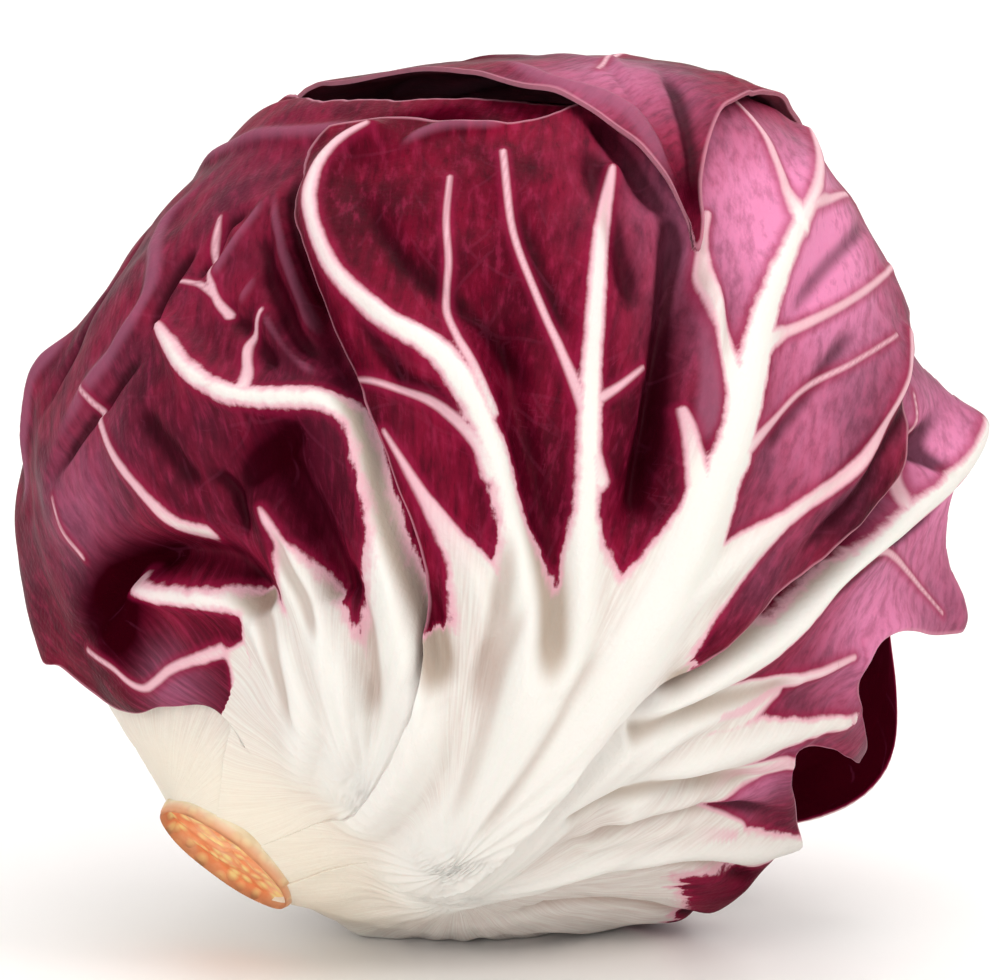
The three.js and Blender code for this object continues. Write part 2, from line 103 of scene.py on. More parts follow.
# ---- ribs and pleats -----------------------------------------------------------------------------
# half and high: half-width and height of the ridge from the base to the tip, mm.
# pale: half-width of its white, mm, at even steps from the base to the tip.
RIBS = [
    dict(leaf="leaf_front", path=[[24, -58], [36, -44], [50, -31], [62, -21], [70, -14], [79, -7], [89, 0], [101, 7], [109, 11],
                                  [115, 14]],
         half=[4, 1.4], high=[2.8, 1.5], pale=[5.5, 4.0, 2.6, 1.9, 1.35, 1.1, 0.3]),
    dict(leaf="leaf_front", path=[[79, -9], [82, -5], [86, 0], [92, 9], [99, 18], [109, 27]],
         half=[1.6, 1.2], high=[1.4, 0.6], pale=[1.2, 0.75, 0.5, 0.42, 0.35]),
    dict(leaf="leaf_front", path=[[24, -62], [35, -48], [51, -35], [69, -27], [90, -20], [108, -14], [121, -12],
                                  [136, -12], [155, -9]],
         half=[5.5, 1.6], high=[4.2, 1.6], pale=[8, 6.2, 4.4, 3.2, 2.5, 1.6, 0.9, 0.4]),
    dict(leaf="leaf_front", path=[[72, -27], [80, -28], [93, -31], [107, -37], [120, -40], [133, -44]],
         half=[2.6, 1.1], high=[2.0, 0.9], pale=[2.8, 1.5, 0.9, 0.55, 0.35]),
    dict(leaf="leaf_front", path=[[24, -52], [39, -36], [52, -25], [60, -17], [67, -7], [75, 4], [80, 15], [80.5, 24],
                                  [83, 33], [88, 40], [94, 45], [99, 46], [103, 44]],
         half=[5, 1.8], high=[4.4, 2.4], pale=[8, 6, 4.2, 2.8, 2.0, 1.4, 1.1, 1.0, 0.9, 0.35]),
    dict(leaf="leaf_left", path=[[24, -25], [39, -15], [48, -3], [56, 7], [63, 15], [69, 24], [65, 37], [65, 45],
                                 [68, 53], [70, 57]],
         half=[4.2, 1.5], high=[4.4, 2.4], pale=[7, 5, 3.1, 2.2, 1.6, 1.35, 1.2, 0.6]),
    dict(leaf="leaf_left", path=[[24, -14], [33, -6], [41, 9], [48, 21], [53, 29]],
         half=[3.6, 1.6], high=[3.4, 1.6], pale=[5, 3.8, 2.6, 1.9, 1.2, 0.2]),
    dict(leaf="leaf_left", path=[[22, -5], [31, 5], [37, 18], [40, 28], [38, 45], [38, 58]],
         half=[3, 1.6], high=[3.0, 2.4], pale=[5, 3.6, 2.2, 1.5, 1.2, 0.7]),
    dict(leaf="leaf_right", path=[[30, -58], [50, -43], [70, -39], [82, -43], [95, -46], [109, -53], [121, -62.5], [130, -68]],
         half=[4.5, 2.4], high=[3.4, 3.2], pale=[6, 5, 2.8, 1.9, 1.7, 1.6, 1.3]),
    dict(leaf="leaf_right", path=[[30, -62], [46, -48], [61, -44], [70, -46], [79, -51], [90, -58]],
         half=[3.4, 1.6], high=[3.0, 1.6], pale=[5, 4, 2.4, 1.8, 1.2, 0.4]),
    dict(leaf="leaf_right", path=[[18, -92], [32, -66], [48, -66], [59, -72], [68, -80], [76, -88]],
         half=[3.4, 2.0], high=[2.6, 1.8], pale=[5, 4, 3, 2.4, 2.2, 1.6]),
    dict(leaf="leaf_over_top", path=[[16, 165], [45, 168], [75, 172], [105, 176], [140, 180], [170, 175]],
         half=[6.5, 1.8], high=[4.0, 1.6], pale=[9, 6.5, 4.4, 3.0, 2.0, 1.2, 0.5]),
    dict(leaf="leaf_over_top", path=[[40, 165], [60, 152], [85, 144], [112, 138], [130, 128]],
         half=[3.4, 1.2], high=[2.6, 1.0], pale=[4.5, 2.8, 1.6, 0.9, 0.3]),
    dict(leaf="leaf_over_top", path=[[40, 171], [60, 186], [85, 196], [112, 206], [130, 222]],
         half=[3.4, 1.2], high=[2.6, 1.0], pale=[4.5, 2.8, 1.6, 0.9, 0.3]),
    dict(leaf="leaf_back_left", path=[[16, 100], [45, 106], [75, 110], [110, 112], [140, 100]],
         half=[4.5, 1.6], high=[3.0, 1.2], pale=[7, 5, 3, 1.8, 0.8]),
    dict(leaf="leaf_back_left", path=[[45, 108], [70, 122], [95, 130], [118, 128]],
         half=[2.8, 1.2], high=[2.0, 1.0], pale=[4, 2.4, 1.4, 0.4]),
    dict(leaf="leaf_back_right", path=[[16, -125], [42, -128], [75, -122], [105, -118], [135, -112]],
         half=[4.5, 1.6], high=[3.0, 1.4], pale=[7, 5.5, 3, 1.8, 0.8]),
    dict(leaf="leaf_back_right", path=[[60, -124], [78, -138], [100, -146], [122, -150]],
         half=[2.8, 1.2], high=[2.0, 1.0], pale=[3, 2.0, 1.2, 0.4]),
    dict(leaf="leaf_back_right", path=[[60, -122], [76, -106], [95, -98], [116, -92]],
         half=[2.8, 1.2], high=[2.0, 1.0], pale=[3, 2.0, 1.2, 0.4]),
]
# Twigs are side ribs too slim for the solids.
TWIGS = [
    dict(leaf="leaf_front", path=[[78, 6], [81, 11], [83, 15], [86, 19], [91, 22], [96, 26], [102, 30]],
         pale=[1.6, 0.8, 0.42, 0.36, 0.34, 0.32, 0.26]),
    dict(leaf="leaf_front", path=[[72, 2], [74, 6], [75, 13], [74, 19], [73, 25]], pale=[1.4, 0.7, 0.4, 0.2]),
    dict(leaf="leaf_front", path=[[58, -12], [62, -2], [65, 7], [69, 17]], pale=[2.2, 1.3, 0.6, 0.2]),
    dict(leaf="leaf_front", path=[[87, -3], [90, -4], [94, -5]], pale=[0.6, 0.2]),
    dict(leaf="leaf_front", path=[[126, -12], [130, -9], [138, -2], [148, 12], [155, 22]], pale=[1.6, 0.7, 0.5, 0.35]),
    dict(leaf="leaf_front", path=[[130, -12], [139, -17], [150, -26]], pale=[0.8, 0.5, 0.25]),
    dict(leaf="leaf_front", path=[[105, -15], [110, -17], [115, -20], [125, -26], [146, -45]], pale=[1.8, 0.75, 0.5, 0.35]),
    dict(leaf="leaf_front", path=[[92, -20], [99, -22], [107, -24], [117, -30], [129, -39]], pale=[1.2, 0.35, 0.25, 0.15]),
    dict(leaf="leaf_front", path=[[92, -20], [98, -16], [105, -9], [113, -2], [118, 0]], pale=[2.6, 1.5, 1.0, 0.5]),
    dict(leaf="leaf_front", path=[[80, -24], [85, -20], [89, -16], [93, -12]], pale=[2.8, 1.6, 0.5]),
    dict(leaf="leaf_left", path=[[66, 38], [71, 42], [76, 43]], pale=[0.9, 0.5, 0.3]),
    dict(leaf="leaf_left", path=[[47, 38], [47, 44], [49, 49], [53, 57], [58, 66], [62, 72]], pale=[1.2, 1.0, 0.6, 0.45, 0.2]),
    dict(leaf="leaf_left", path=[[41, 72], [44, 76], [49, 79]], pale=[0.35, 0.15]),
    dict(leaf="leaf_left", path=[[74, 48], [76, 52], [81, 57], [87, 60]], pale=[0.6, 0.4, 0.2]),
    dict(leaf="leaf_left", path=[[76, 52], [77, 56], [77, 60]], pale=[0.5, 0.2]),
    dict(leaf="leaf_left", path=[[33, 30], [29, 42], [25, 55], [27, 68], [30, 80]], pale=[1.0, 0.6, 0.45, 0.4, 0.3]),
    dict(leaf="leaf_right", path=[[62, -44], [68, -45], [73, -50], [79, -53]], pale=[1.2, 0.6, 0.2]),
    dict(leaf="leaf_right", path=[[56, -51], [65, -53], [75, -58], [86, -67]], pale=[3.2, 2.9, 2.2, 1.2]),
    dict(leaf="leaf_right", path=[[54, -56], [63, -60], [72, -64], [80, -68]], pale=[2.0, 1.2, 0.8, 0.4]),
    dict(leaf="leaf_right", path=[[48, -60], [58, -66], [66, -74]], pale=[1.4, 0.9, 0.3]),
    dict(leaf="leaf_right", path=[[98, -46], [104, -54], [106, -64], [106, -72]], pale=[0.8, 0.4, 0.2]),
    dict(leaf="leaf_right", path=[[110, -52], [118, -52], [127, -50]], pale=[0.8, 0.4, 0.2]),
    dict(leaf="leaf_over_top", path=[[75, 172], [95, 166], [116, 160], [138, 152]], pale=[2.0, 1.0, 0.4]),
    dict(leaf="leaf_over_top", path=[[82, 173], [100, 182], [122, 192], [142, 204]], pale=[2.0, 1.0, 0.4]),
    dict(leaf="leaf_over_top", path=[[120, 178], [140, 160], [152, 132]], pale=[1.2, 0.3]),
    dict(leaf="leaf_over_top", path=[[126, 178], [144, 200], [156, 232]], pale=[1.2, 0.3]),
    dict(leaf="leaf_over_top", path=[[140, 178], [170, 160], [162, 60], [148, 42], [132, 30]], pale=[1.0, 0.6, 0.2]),
    dict(leaf="leaf_over_top", path=[[58, 153], [74, 138], [90, 134]], pale=[1.1, 0.3]),
    dict(leaf="leaf_over_top", path=[[60, 186], [76, 200], [92, 204]], pale=[1.1, 0.3]),
    dict(leaf="leaf_back_left", path=[[60, 108], [78, 96], [100, 88]], pale=[1.4, 0.3]),
    dict(leaf="leaf_back_right", path=[[84, -121], [100, -108], [122, -98]], pale=[1.4, 0.3]),
]
PLEATS = [
    dict(path=[[46, -13], [53, -3], [61, 11], [68, 19], [76, 31], [84, 42]], half=2.4, deep=4.0),
    dict(path=[[57, -23], [65, -14], [71, -6], [76, 0], [82, 7], [90, 15]], half=2.2, deep=3.6, red="leaf_front"),
    dict(path=[[78, -16], [88, -11], [100, -6], [112, -2]], half=2.4, deep=3.6),
    dict(path=[[65, -35], [76, -38], [90, -42], [104, -46], [118, -54]], half=2.2, deep=3.4),
    dict(path=[[59, -38], [68, -43], [82, -54]], half=2.2, deep=2.4),
    dict(path=[[46, -49], [58, -52], [72, -66]], half=2.2, deep=2.4),
    dict(path=[[47, 10], [53, 19], [60, 31]], half=2.4, deep=3.8),
    dict(path=[[40, 22], [44, 34], [42, 50], [39, 66]], half=2.8, deep=4.2),
    dict(path=[[40, 180], [70, 182], [100, 190], [125, 202]], half=4, deep=1.6),
    dict(path=[[40, 158], [70, 160], [100, 160], [125, 156]], half=4, deep=1.6),
]
# Creases belong to one leaf, and are too fine for the solids. high is below zero for a groove.
CREASES = [
    dict(leaf="leaf_left", path=[[98, 70], [90, 73], [85, 73], [79, 67], [74, 65], [68, 66], [63, 70], [58, 75], [53, 82]], half=1.7, high=1.0),
    dict(leaf="leaf_left", path=[[94, 55], [88, 49], [82, 42], [78, 37], [75, 33]], half=1.2, high=1.2),
    dict(leaf="leaf_left", path=[[92, 55], [88, 54], [84, 54], [80, 54], [77, 54]], half=0.9, high=0.8),
    dict(leaf="leaf_left", path=[[84, 51], [81, 47], [76, 47], [74, 45]], half=0.9, high=0.7),
    dict(leaf="leaf_left", path=[[76, 43], [74, 39], [72, 34], [71, 29]], half=0.9, high=0.8),
    dict(leaf="leaf_left", path=[[108, 50], [104, 60], [100, 74], [97, 88]], half=1.5, high=0.8),
    dict(leaf="leaf_left", path=[[72, 88], [67, 94], [60, 98], [52, 100]], half=2.0, high=1.4),
    dict(leaf="leaf_left", path=[[67, 59], [63, 63], [59, 67], [55, 73], [51, 80]], half=1.4, high=-1.4),
    dict(leaf="leaf_left", path=[[83, 61], [78, 62], [73, 62], [69, 61]], half=1.2, high=-1.2),
    dict(leaf="leaf_left", path=[[97, 54], [91, 50], [86, 44], [82, 39], [79, 34]], half=1.3, high=-1.8),
    dict(leaf="leaf_left", path=[[87, 51], [82, 47], [78, 41], [74, 35], [73, 31]], half=1.4, high=-1.6),
    dict(leaf="leaf_left", path=[[89, 56], [86, 58], [81, 57], [77, 58]], half=1.1, high=-1.2),
    dict(leaf="leaf_left", path=[[94, 82], [88, 84], [80, 82], [72, 82], [66, 84], [60, 89]], half=1.4, high=-1.2),
    dict(leaf="leaf_left", path=[[76, 51], [74, 46], [71, 39], [69, 36]], half=1.3, high=-1.2),
    dict(leaf="leaf_left", path=[[65, 28], [61, 31], [58, 33], [54, 34]], half=1.8, high=-2.2),
    dict(leaf="leaf_left", path=[[52, 28], [48, 22], [45, 16], [41, 10]], half=1.1, high=-1.6),
    dict(leaf="leaf_left", path=[[55, 40], [53, 35], [48, 31]], half=1.1, high=-1.4),
    dict(leaf="leaf_front", path=[[102, 39], [106, 38], [109, 36], [112, 32], [114, 30]], half=1.0, high=0.8),
    dict(leaf="leaf_front", path=[[69, -3], [61, -9], [55, -13], [47, -19]], half=1.6, high=-1.4),
    dict(leaf="leaf_front", path=[[124, 24], [121, 18], [117, 11], [113, 4]], half=1.8, high=-1.8),
    dict(leaf="leaf_over_top", path=[[128, 48], [126, 38], [124, 30], [125, 23], [124, 17], [120, 11], [115, 4]], half=1.5, high=1.3),
    dict(leaf="leaf_over_top", path=[[140, 36], [133, 26], [126, 15], [119, 5]], half=1.0, high=0.8),
    dict(leaf="leaf_over_top", path=[[136, 32], [130, 22], [124, 12], [117, 4]], half=1.1, high=-1.0),
    dict(leaf="leaf_over_top", path=[[140, 24], [132, 14], [124, 7], [114, 1]], half=1.3, high=-1.2),
    dict(leaf="leaf_front", path=[[115, 4], [110, 1], [101, -4], [91, -9.5], [84, -13], [78, -16.5]], half=1.7, high=-2.6),
    dict(leaf="leaf_front", path=[[111, -5], [103, -9.5], [96, -13.5], [90, -16]], half=1.4, high=1.4),
    dict(leaf="leaf_left", path=[[32, 80], [34, 70], [36, 64], [39, 57], [43, 47]], half=2.0, high=-2.8),
    dict(leaf="leaf_left", path=[[44, 34], [40, 23], [35, 15], [28, 4]], half=1.2, high=-1.6),
    dict(leaf="leaf_left", path=[[53, 14], [45, 2], [36, -8]], half=1.4, high=-1.4),
    dict(leaf="leaf_left", path=[[60, 56], [56, 48], [52, 40]], half=1.6, high=-1.2),
    dict(leaf="leaf_left", path=[[114, 60], [110, 78], [106, 94]], half=1.4, high=-1.2),
    dict(leaf="leaf_front", path=[[81, 30], [76, 19], [76, 13], [74, 7]], half=1.2, high=-1.2),
    dict(leaf="leaf_front", path=[[94, 38], [88, 26], [86, 12], [82, 2]], half=1.6, high=-1.0),
    dict(leaf="leaf_front", path=[[104, 22], [96, 12], [90, 4]], half=1.6, high=-1.0),
    dict(leaf="leaf_front", path=[[118, 20], [108, 10], [98, -1]], half=1.8, high=-1.4),
    dict(leaf="leaf_front", path=[[124, -30], [114, -26], [102, -24], [94, -23]], half=1.4, high=-0.9),
    dict(leaf="leaf_front", path=[[128, -46], [116, -40], [104, -35], [92, -31]], half=1.3, high=-0.9),
    dict(leaf="leaf_front", path=[[122, -44], [110, -40], [100, -38], [88, -36]], half=1.2, high=-1.0),
    dict(leaf="leaf_front", path=[[150, -34], [136, -24], [124, -19], [112, -17]], half=1.4, high=-0.8),
    dict(leaf="leaf_front", path=[[36, -40], [46, -32], [58, -26], [66, -23]], half=1.2, high=-0.9),
    dict(leaf="leaf_front", path=[[34, -36], [44, -25], [56, -15], [64, -11]], half=1.2, high=-0.9),
    dict(leaf="leaf_right", path=[[81, -40], [86, -41], [94, -43], [103, -45], [116, -50], [130, -60]], half=1.5, high=-2.4),
    dict(leaf="leaf_right", path=[[42, -69], [50, -70], [61, -77], [70, -91]], half=1.3, high=-1.8),
    dict(leaf="leaf_right", path=[[34, -84], [46, -84], [58, -92], [66, -102]], half=1.4, high=-1.4),
    dict(leaf="leaf_right", path=[[36, -100], [46, -104], [58, -112]], half=1.6, high=-1.2),
    dict(leaf="leaf_right", path=[[88, -46], [100, -50], [112, -60], [120, -66]], half=1.2, high=-1.2),
    dict(leaf="leaf_right", path=[[124, -40], [120, -50], [120, -62]], half=1.5, high=-1.4),
    dict(leaf="leaf_right", path=[[40, -58], [56, -60], [66, -68], [74, -78]], half=1.2, high=-1.2),
    dict(leaf="leaf_over_top", path=[[122, 120], [134, 84], [138, 52], [136, 30]], half=2.0, high=0.6),
    dict(leaf="leaf_over_top", path=[[120, 140], [136, 104], [146, 70]], half=2.0, high=-1.4),
    dict(leaf="leaf_back_right", path=[[78, -84], [88, -88], [100, -90], [112, -86]], half=1.8, high=-1.6),
]


def curve_through(points, per_span):
    """A round curve through the points, each span cut into per_span steps."""
    points = np.asarray(points, float)
    before = np.vstack([points[:1], points[:-1]])[:-1]
    after = np.vstack([points[1:], points[-1:]])[1:]
    start, end = points[:-1], points[1:]
    steps = []
    for t in np.arange(per_span) / per_span:
        lead = (end - before) / 2
        trail = (after - start) / 2
        steps.append(
            start * (2 * t**3 - 3 * t**2 + 1)
            + lead * (t**3 - 2 * t**2 + t)
            + end * (3 * t**2 - 2 * t**3)
            + trail * (t**3 - t**2)
        )
    line = np.stack(steps, axis=1).reshape(-1, points.shape[1])
    return np.vstack([line, points[-1:]])


for line in [*RIBS, *TWIGS, *PLEATS, *CREASES]:
    line["crest"] = unit(curve_through(way(line["path"]), 6))

OUT_OF_REACH = 16.0  # mm: nothing that follows a line reaches as far as this from it


def nearest(ways, crest, reach=OUT_OF_REACH):
    """For each way: distance to the crest in mm, share along it, and which side it lies on."""
    centre = unit(crest.mean(axis=0))
    span = np.linalg.norm(crest - centre, axis=1).max() + reach / BALL_RADIUS
    close = np.flatnonzero(np.linalg.norm(ways - centre, axis=1) < span)
    gap, along, side = np.full(len(ways), reach), np.zeros(len(ways)), np.zeros(len(ways))
    near = ways[close]
    best = np.full(len(near), reach / BALL_RADIUS)
    near_along, near_side = np.zeros(len(near)), np.zeros(len(near))
    for i, (start, end) in enumerate(zip(crest[:-1], crest[1:])):
        step = end - start
        share = np.clip((near - start) @ step / (step @ step), 0, 1)
        apart = np.linalg.norm(near - start - share[:, None] * step, axis=1)
        closer = apart < best
        best[closer] = apart[closer]
        near_along[closer] = (i + share[closer]) / (len(crest) - 1)
        near_side[closer] = np.sign(near[closer] @ np.cross(start, end))
    gap[close], along[close], side[close] = best * BALL_RADIUS, near_along, near_side
    return gap, along, side


def taper(stops, along):
    """The stops' value at shares along a line."""
    return np.interp(along, np.linspace(0, 1, len(stops)), stops)


def relief(ways):
    """Ridge height less pleat depth, mm, shared by all the leaves so that they nest."""
    raised = np.zeros(len(ways))
    for rib in RIBS:
        gap, along, _ = nearest(ways, rib["crest"])
        half = taper(rib["half"], along) + RIB_SPREAD
        raised += (taper(rib["high"], along) * np.exp(-((gap / half) ** 2))) ** 4
    for twig in TWIGS:
        gap, along, _ = nearest(ways, twig["crest"])
        half = taper(twig["pale"], along) * 1.1
        raised += (half * 0.75 * np.exp(-((gap / (half + 0.6)) ** 2))) ** 4
    sunk = np.zeros(len(ways))
    for pleat in PLEATS:
        gap, along, _ = nearest(ways, pleat["crest"])
        ends = smooth(0, 0.12, along) * smooth(1, 0.85, along)
        sunk += (pleat["deep"] * (0.25 + 0.75 * ends) * np.exp(-((gap / pleat["half"]) ** 2))) ** 4
    fade = smooth(13, 34, degrees_down(ways))
    return raised**0.25 * fade, sunk**0.25 * fade


def creases(leaf, ways):
    total = np.zeros(len(ways))
    for line in [item for item in CREASES if item["leaf"] == leaf["name"]]:
        gap, along, _ = nearest(ways, line["crest"])
        ends = smooth(0, 0.25, along) * smooth(1, 0.75, along)
        total += line["high"] * (0.15 + 0.85 * ends) * np.exp(-((gap / line["half"]) ** 2))
    return total * smooth(14, 30, degrees_down(ways))


# ---- the ball that the leaves wrap ---------------------------------------------------------------
BALL_SWELLS = [
    dict(at=[155, 0], wide=26, high=3.0),
    dict(at=[122, 62], wide=34, high=-1.8),
    dict(at=[158, 2], wide=7, high=1.2),
    dict(at=[0, 0], wide=12.5, high=6.5),
    dict(at=[141, -54], wide=13, high=-1.6),
]
PUCKER_HIGH = 0.45
PUCKER_TURNS = [9.1, 7.3, 8.2]


def ball_radius(ways):
    x, y, z = ways.T
    kx, ky, kz = PUCKER_TURNS
    pucker = np.sin(x * kx + 2 * np.sin(z * ky)) * np.sin(y * kz + 1.3)
    return BALL_RADIUS + sum(swell(ways, **item) for item in BALL_SWELLS) + PUCKER_HIGH * pucker


def over_floor(radius, ways, clear):
    """Keeps a leaf above the surface that the head lies on."""
    down = np.maximum(-ways[:, 2], 0.2)
    return np.where(ways[:, 2] > -0.2, radius, np.minimum(radius, (REST_HEIGHT - clear) / down))


def crumple(ways, wavelength, seed):
    """Smooth seeded bumps between -1 and 1, about one wavelength in mm apart."""
    rng = np.random.default_rng(seed)
    total = np.zeros(len(ways))
    for _ in range(7):
        heading = unit(rng.normal(size=3))
        total += np.sin(ways @ heading * BALL_RADIUS * 2 * math.pi / wavelength + rng.uniform(0, 6.3))
    return total / 4


# ---- leaves --------------------------------------------------------------------------------------
# white_to: where the fleshy white base ends, as [degrees round, degrees down] from right to left.
# blush_and_light: places where the leaf is paler and pinker, partly its own blush and partly painted light. fan: where
# its streaks run together.
# bloom_and_sheen: how much dull mauve bloom the leaf has, partly its own and partly painted sheen.
# painted_shade: places painted dark wine as shade, where the leaf lies in shadow under folds or behind other leaves.
LEAVES = [
    dict(
        name="leaf_front", layer=0, middle=-20, grid=(220, 214),
        left=[[11, -15], [23, -22], [35, -16], [46, -9], [52, -3], [57, 2], [62, 8], [67, 15], [71, 22], [77, 31],
              [84, 39], [91, 46], [98, 51], [103, 52]],
        tip=[[103, 52], [107, 44], [110, 36], [116, 29], [128, 26], [145, 24], [160, 16], [168, -20], [164, -70],
             [152, -62]],
        right=[[11, -78], [26, -58], [40, -44], [51, -37], [64, -34], [76, -36], [84, -38], [92, -40], [103, -43],
               [110, -45], [116, -44], [124, -43], [134, -46], [144, -54], [152, -62]],
        lift=dict(left=[-0.5, -0.3, 0.6], right=[-0.4, 0.6, 0.8], tip=[1.2, 0, 0]),
        swells=[],
        white_to=[[-60, 62], [-44, 72], [-36, 76], [-30, 78], [-24, 76], [-19, 74], [-14, 64], [-8, 60], [0, 52],
                  [8, 52], [20, 54]],
        blush_and_light=[dict(at=[124, -14], wide=16, high=1.05), dict(at=[102, -28], wide=9, high=0.35),
               dict(at=[86, -30], wide=8, high=0.15), dict(at=[140, -18], wide=16, high=0.4)],
        bloom_and_sheen=0.08, ragged=0.3,
        painted_shade=[dict(at=[98, -40], wide=5, high=0.5), dict(at=[106, -43], wide=5, high=0.5)],
        fan=[33, -43],
    ),
    dict(
        name="leaf_left", layer=1, middle=45, grid=(206, 210),
        left=[[11.4, 22], [17, 23], [24, 24], [24.6, 33], [22.6, 50], [21, 67], [23.5, 86], [31, 98], [36, 106], [55, 110], [75, 112],
              [95, 114], [108, 112]],
        tip=[[108, 112], [114, 98], [113.5, 86], [112, 75], [110, 65], [113, 56], [118, 49], [122, 43], [127, 34], [130, 25]],
        right=[[11.4, -52], [23, -36], [35, -26], [45, -17], [53, -9], [59, -3], [66, 6], [71, 12], [79, 21],
               [88, 29], [97, 33], [112, 27], [122, 23], [130, 25]],
        lift=dict(left=[-1.5, 4.2, 0.2], right=[0, 0, 0], tip=[0, 1.2, 0.4]),
        swells=[dict(at=[78, 84], wide=30, high=2.6), dict(at=[50, 84], wide=20, high=4.2),
                dict(at=[55, 52], wide=11, high=3.0), dict(at=[28, 52], wide=13, high=2.4),
                dict(at=[112, 77], wide=17, high=3.2), dict(at=[67, 96], wide=8, high=3.0),
                dict(at=[32, 106], wide=12, high=2.4)],
        white_to=[[-20, 46], [0, 46], [10, 44], [18, 42], [25, 36], [29, 18], [45, 8], [120, 8]],
        blush_and_light=[dict(at=[75, 80], wide=40, high=0.05), dict(at=[47, 70], wide=9, high=0.22), dict(at=[26, 44], wide=5, high=0.3)],
        bloom_and_sheen=0.35, ragged=0.45, painted_shade=[dict(at=[79, 38], wide=8, high=0.5), dict(at=[86, 46], wide=6, high=0.3), dict(at=[35, 67], wide=6, high=1.1),
               dict(at=[32, 61], wide=6, high=0.8), dict(at=[39, 57], wide=5, high=0.9), dict(at=[41, 48], wide=4, high=0.4), dict(at=[109, 47], wide=4, high=0.7),
               dict(at=[114, 42], wide=6, high=0.9), dict(at=[60, 30], wide=6, high=1.0),
               dict(at=[54, 20], wide=5, high=0.5)],
        fan=[28, -20],
    ),
    dict(
        name="leaf_right", layer=1, middle=-85, grid=(206, 210),
        left=[[11.4, -58], [26, -42], [40, -30], [51, -26], [64, -25], [72, -26], [85, -29], [93, -30],
              [103, -32], [113, -33], [123, -32], [134, -32]],
        tip=[[134, -32], [138, -46], [137, -58], [131, -67], [121, -71], [114, -75], [108, -80]],
        right=[[11.4, -140], [24, -146], [42, -148], [60, -138], [67, -118], [69, -102], [75, -90], [75.5, -79],
              [76, -69], [79, -66], [83, -72], [88, -83], [88, -72], [88.5, -63], [93, -60], [98, -63], [103, -72],
              [108, -80]],
        lift=dict(left=[0, 0, 0], right=[0, 0.2, 2.6], tip=[0.2, 2.6, 3]),
        swells=[dict(at=[131, -68], wide=8.5, high=4.6), dict(at=[109, -78], wide=6, high=3),
                dict(at=[85, -80], wide=14, high=2.4), dict(at=[45, -123], wide=30, high=3.8),
                dict(at=[66, -95], wide=13, high=5.2)],
        white_to=[[-170, 50], [-120, 58], [-96, 65], [-87, 64], [-73, 62], [-62, 66], [-54, 69], [-46, 67], [-40, 70], [-30, 62],
                  [-10, 60]],
        blush_and_light=[dict(at=[112, -60], wide=24, high=0.5), dict(at=[123, -62], wide=10, high=0.5), dict(at=[95, -59], wide=9, high=0.5), dict(at=[71, -66], wide=6, high=0.5)],
        bloom_and_sheen=0.35, ragged=0.8,
        painted_shade=[dict(at=[69, -90], wide=7, high=0.5)],
        fan=[30, -62],
    ),
    dict(
        name="leaf_over_top", layer=-0.75, middle=170, grid=(180, 220),
        left=[[11, 132], [28, 128], [50, 131], [75, 136], [100, 130], [108, 108], [112, 94], [115, 84], [118, 74],
              [121.5, 64], [123, 54], [122.5, 44], [122.5, 32], [121.5, 21], [118, 10], [113, 1]],
        tip=[[113, 1], [111, -1], [111, -2]],
        right=[[11, 210], [28, 205], [50, 199], [75, 198], [100, 204], [122, 217], [142, 244], [158, 288], [166, 335],
               [158, 2], [146, 8], [134, 8], [122, 4], [111, -2]],
        lift=dict(left=[-0.3, 0.2, 0.2], right=[-0.3, 0.2, 0.2], tip=[0, 0, 0]),
        swells=[dict(at=[78, 168], wide=58, high=-4.4), dict(at=[138, 61], wide=17, high=-3.0)],
        white_to=[[-190, 44], [-172, 56], [172, 56], [150, 46], [120, 38]],
        blush_and_light=[dict(at=[131, 26], wide=10, high=0.5), dict(at=[110, 180], wide=40, high=0.2)],
        bloom_and_sheen=0.6, ragged=0.4, painted_shade=[dict(at=[117, 2], wide=5, high=0.8), dict(at=[136, 70], wide=12, high=0.6)],
        fan=[8, 170],
    ),
    dict(
        name="leaf_back_left", layer=2.4, middle=85, grid=(120, 130),
        left=[[12, 160], [35, 152], [60, 145], [90, 142], [120, 140], [145, 120]],
        tip=[[145, 120], [150, 70], [140, 35], [130, 22]],
        right=[[12, -5], [30, 10], [50, 24], [75, 36], [100, 26], [118, 20], [130, 22]],
        lift=dict(left=[0, 0, 0], right=[0, 0, 0], tip=[0, 0, 0]),
        swells=[dict(at=[66, 134], wide=26, high=2.6), dict(at=[22, 95], wide=22, high=0.8),
                dict(at=[79, 36], wide=16, high=-0.9)],
        white_to=[[0, 36], [90, 42], [110, 46], [160, 36]],
        blush_and_light=[dict(at=[90, 120], wide=30, high=0.2)],
        bloom_and_sheen=0.1, ragged=0.3, painted_shade=[dict(at=[110, 70], wide=50, high=0.7)],
        fan=[8, 85],
    ),
    dict(
        name="leaf_back_right", layer=2.3, middle=-112, grid=(130, 130),
        left=[[12, -70], [35, -66], [60, -52], [80, -46], [105, -50], [130, -45], [148, -30]],
        tip=[[148, -30], [158, -90], [150, -150]],
        right=[[12, -168], [35, -172], [60, -170], [90, -168], [120, -170], [150, -150]],
        lift=dict(left=[0, 0, 0], right=[0, 0, 0], tip=[0, 0, 0]),
        swells=[dict(at=[98, -132], wide=34, high=3.4), dict(at=[77, -48], wide=14, high=-0.8),
                dict(at=[92, -97], wide=14, high=10.5)],
        white_to=[[-170, 46], [-125, 60], [-100, 56], [-60, 50]],
        blush_and_light=[dict(at=[110, -140], wide=36, high=0.25)],
        bloom_and_sheen=0.1, ragged=0.3, painted_shade=[dict(at=[90, -90], wide=40, high=1.1)],
        fan=[8, -112],
    ),
]
for leaf in LEAVES:  # tucks each base against the stem
    for margin in ("left", "right"):
        leaf[margin][0][0] = 9.0
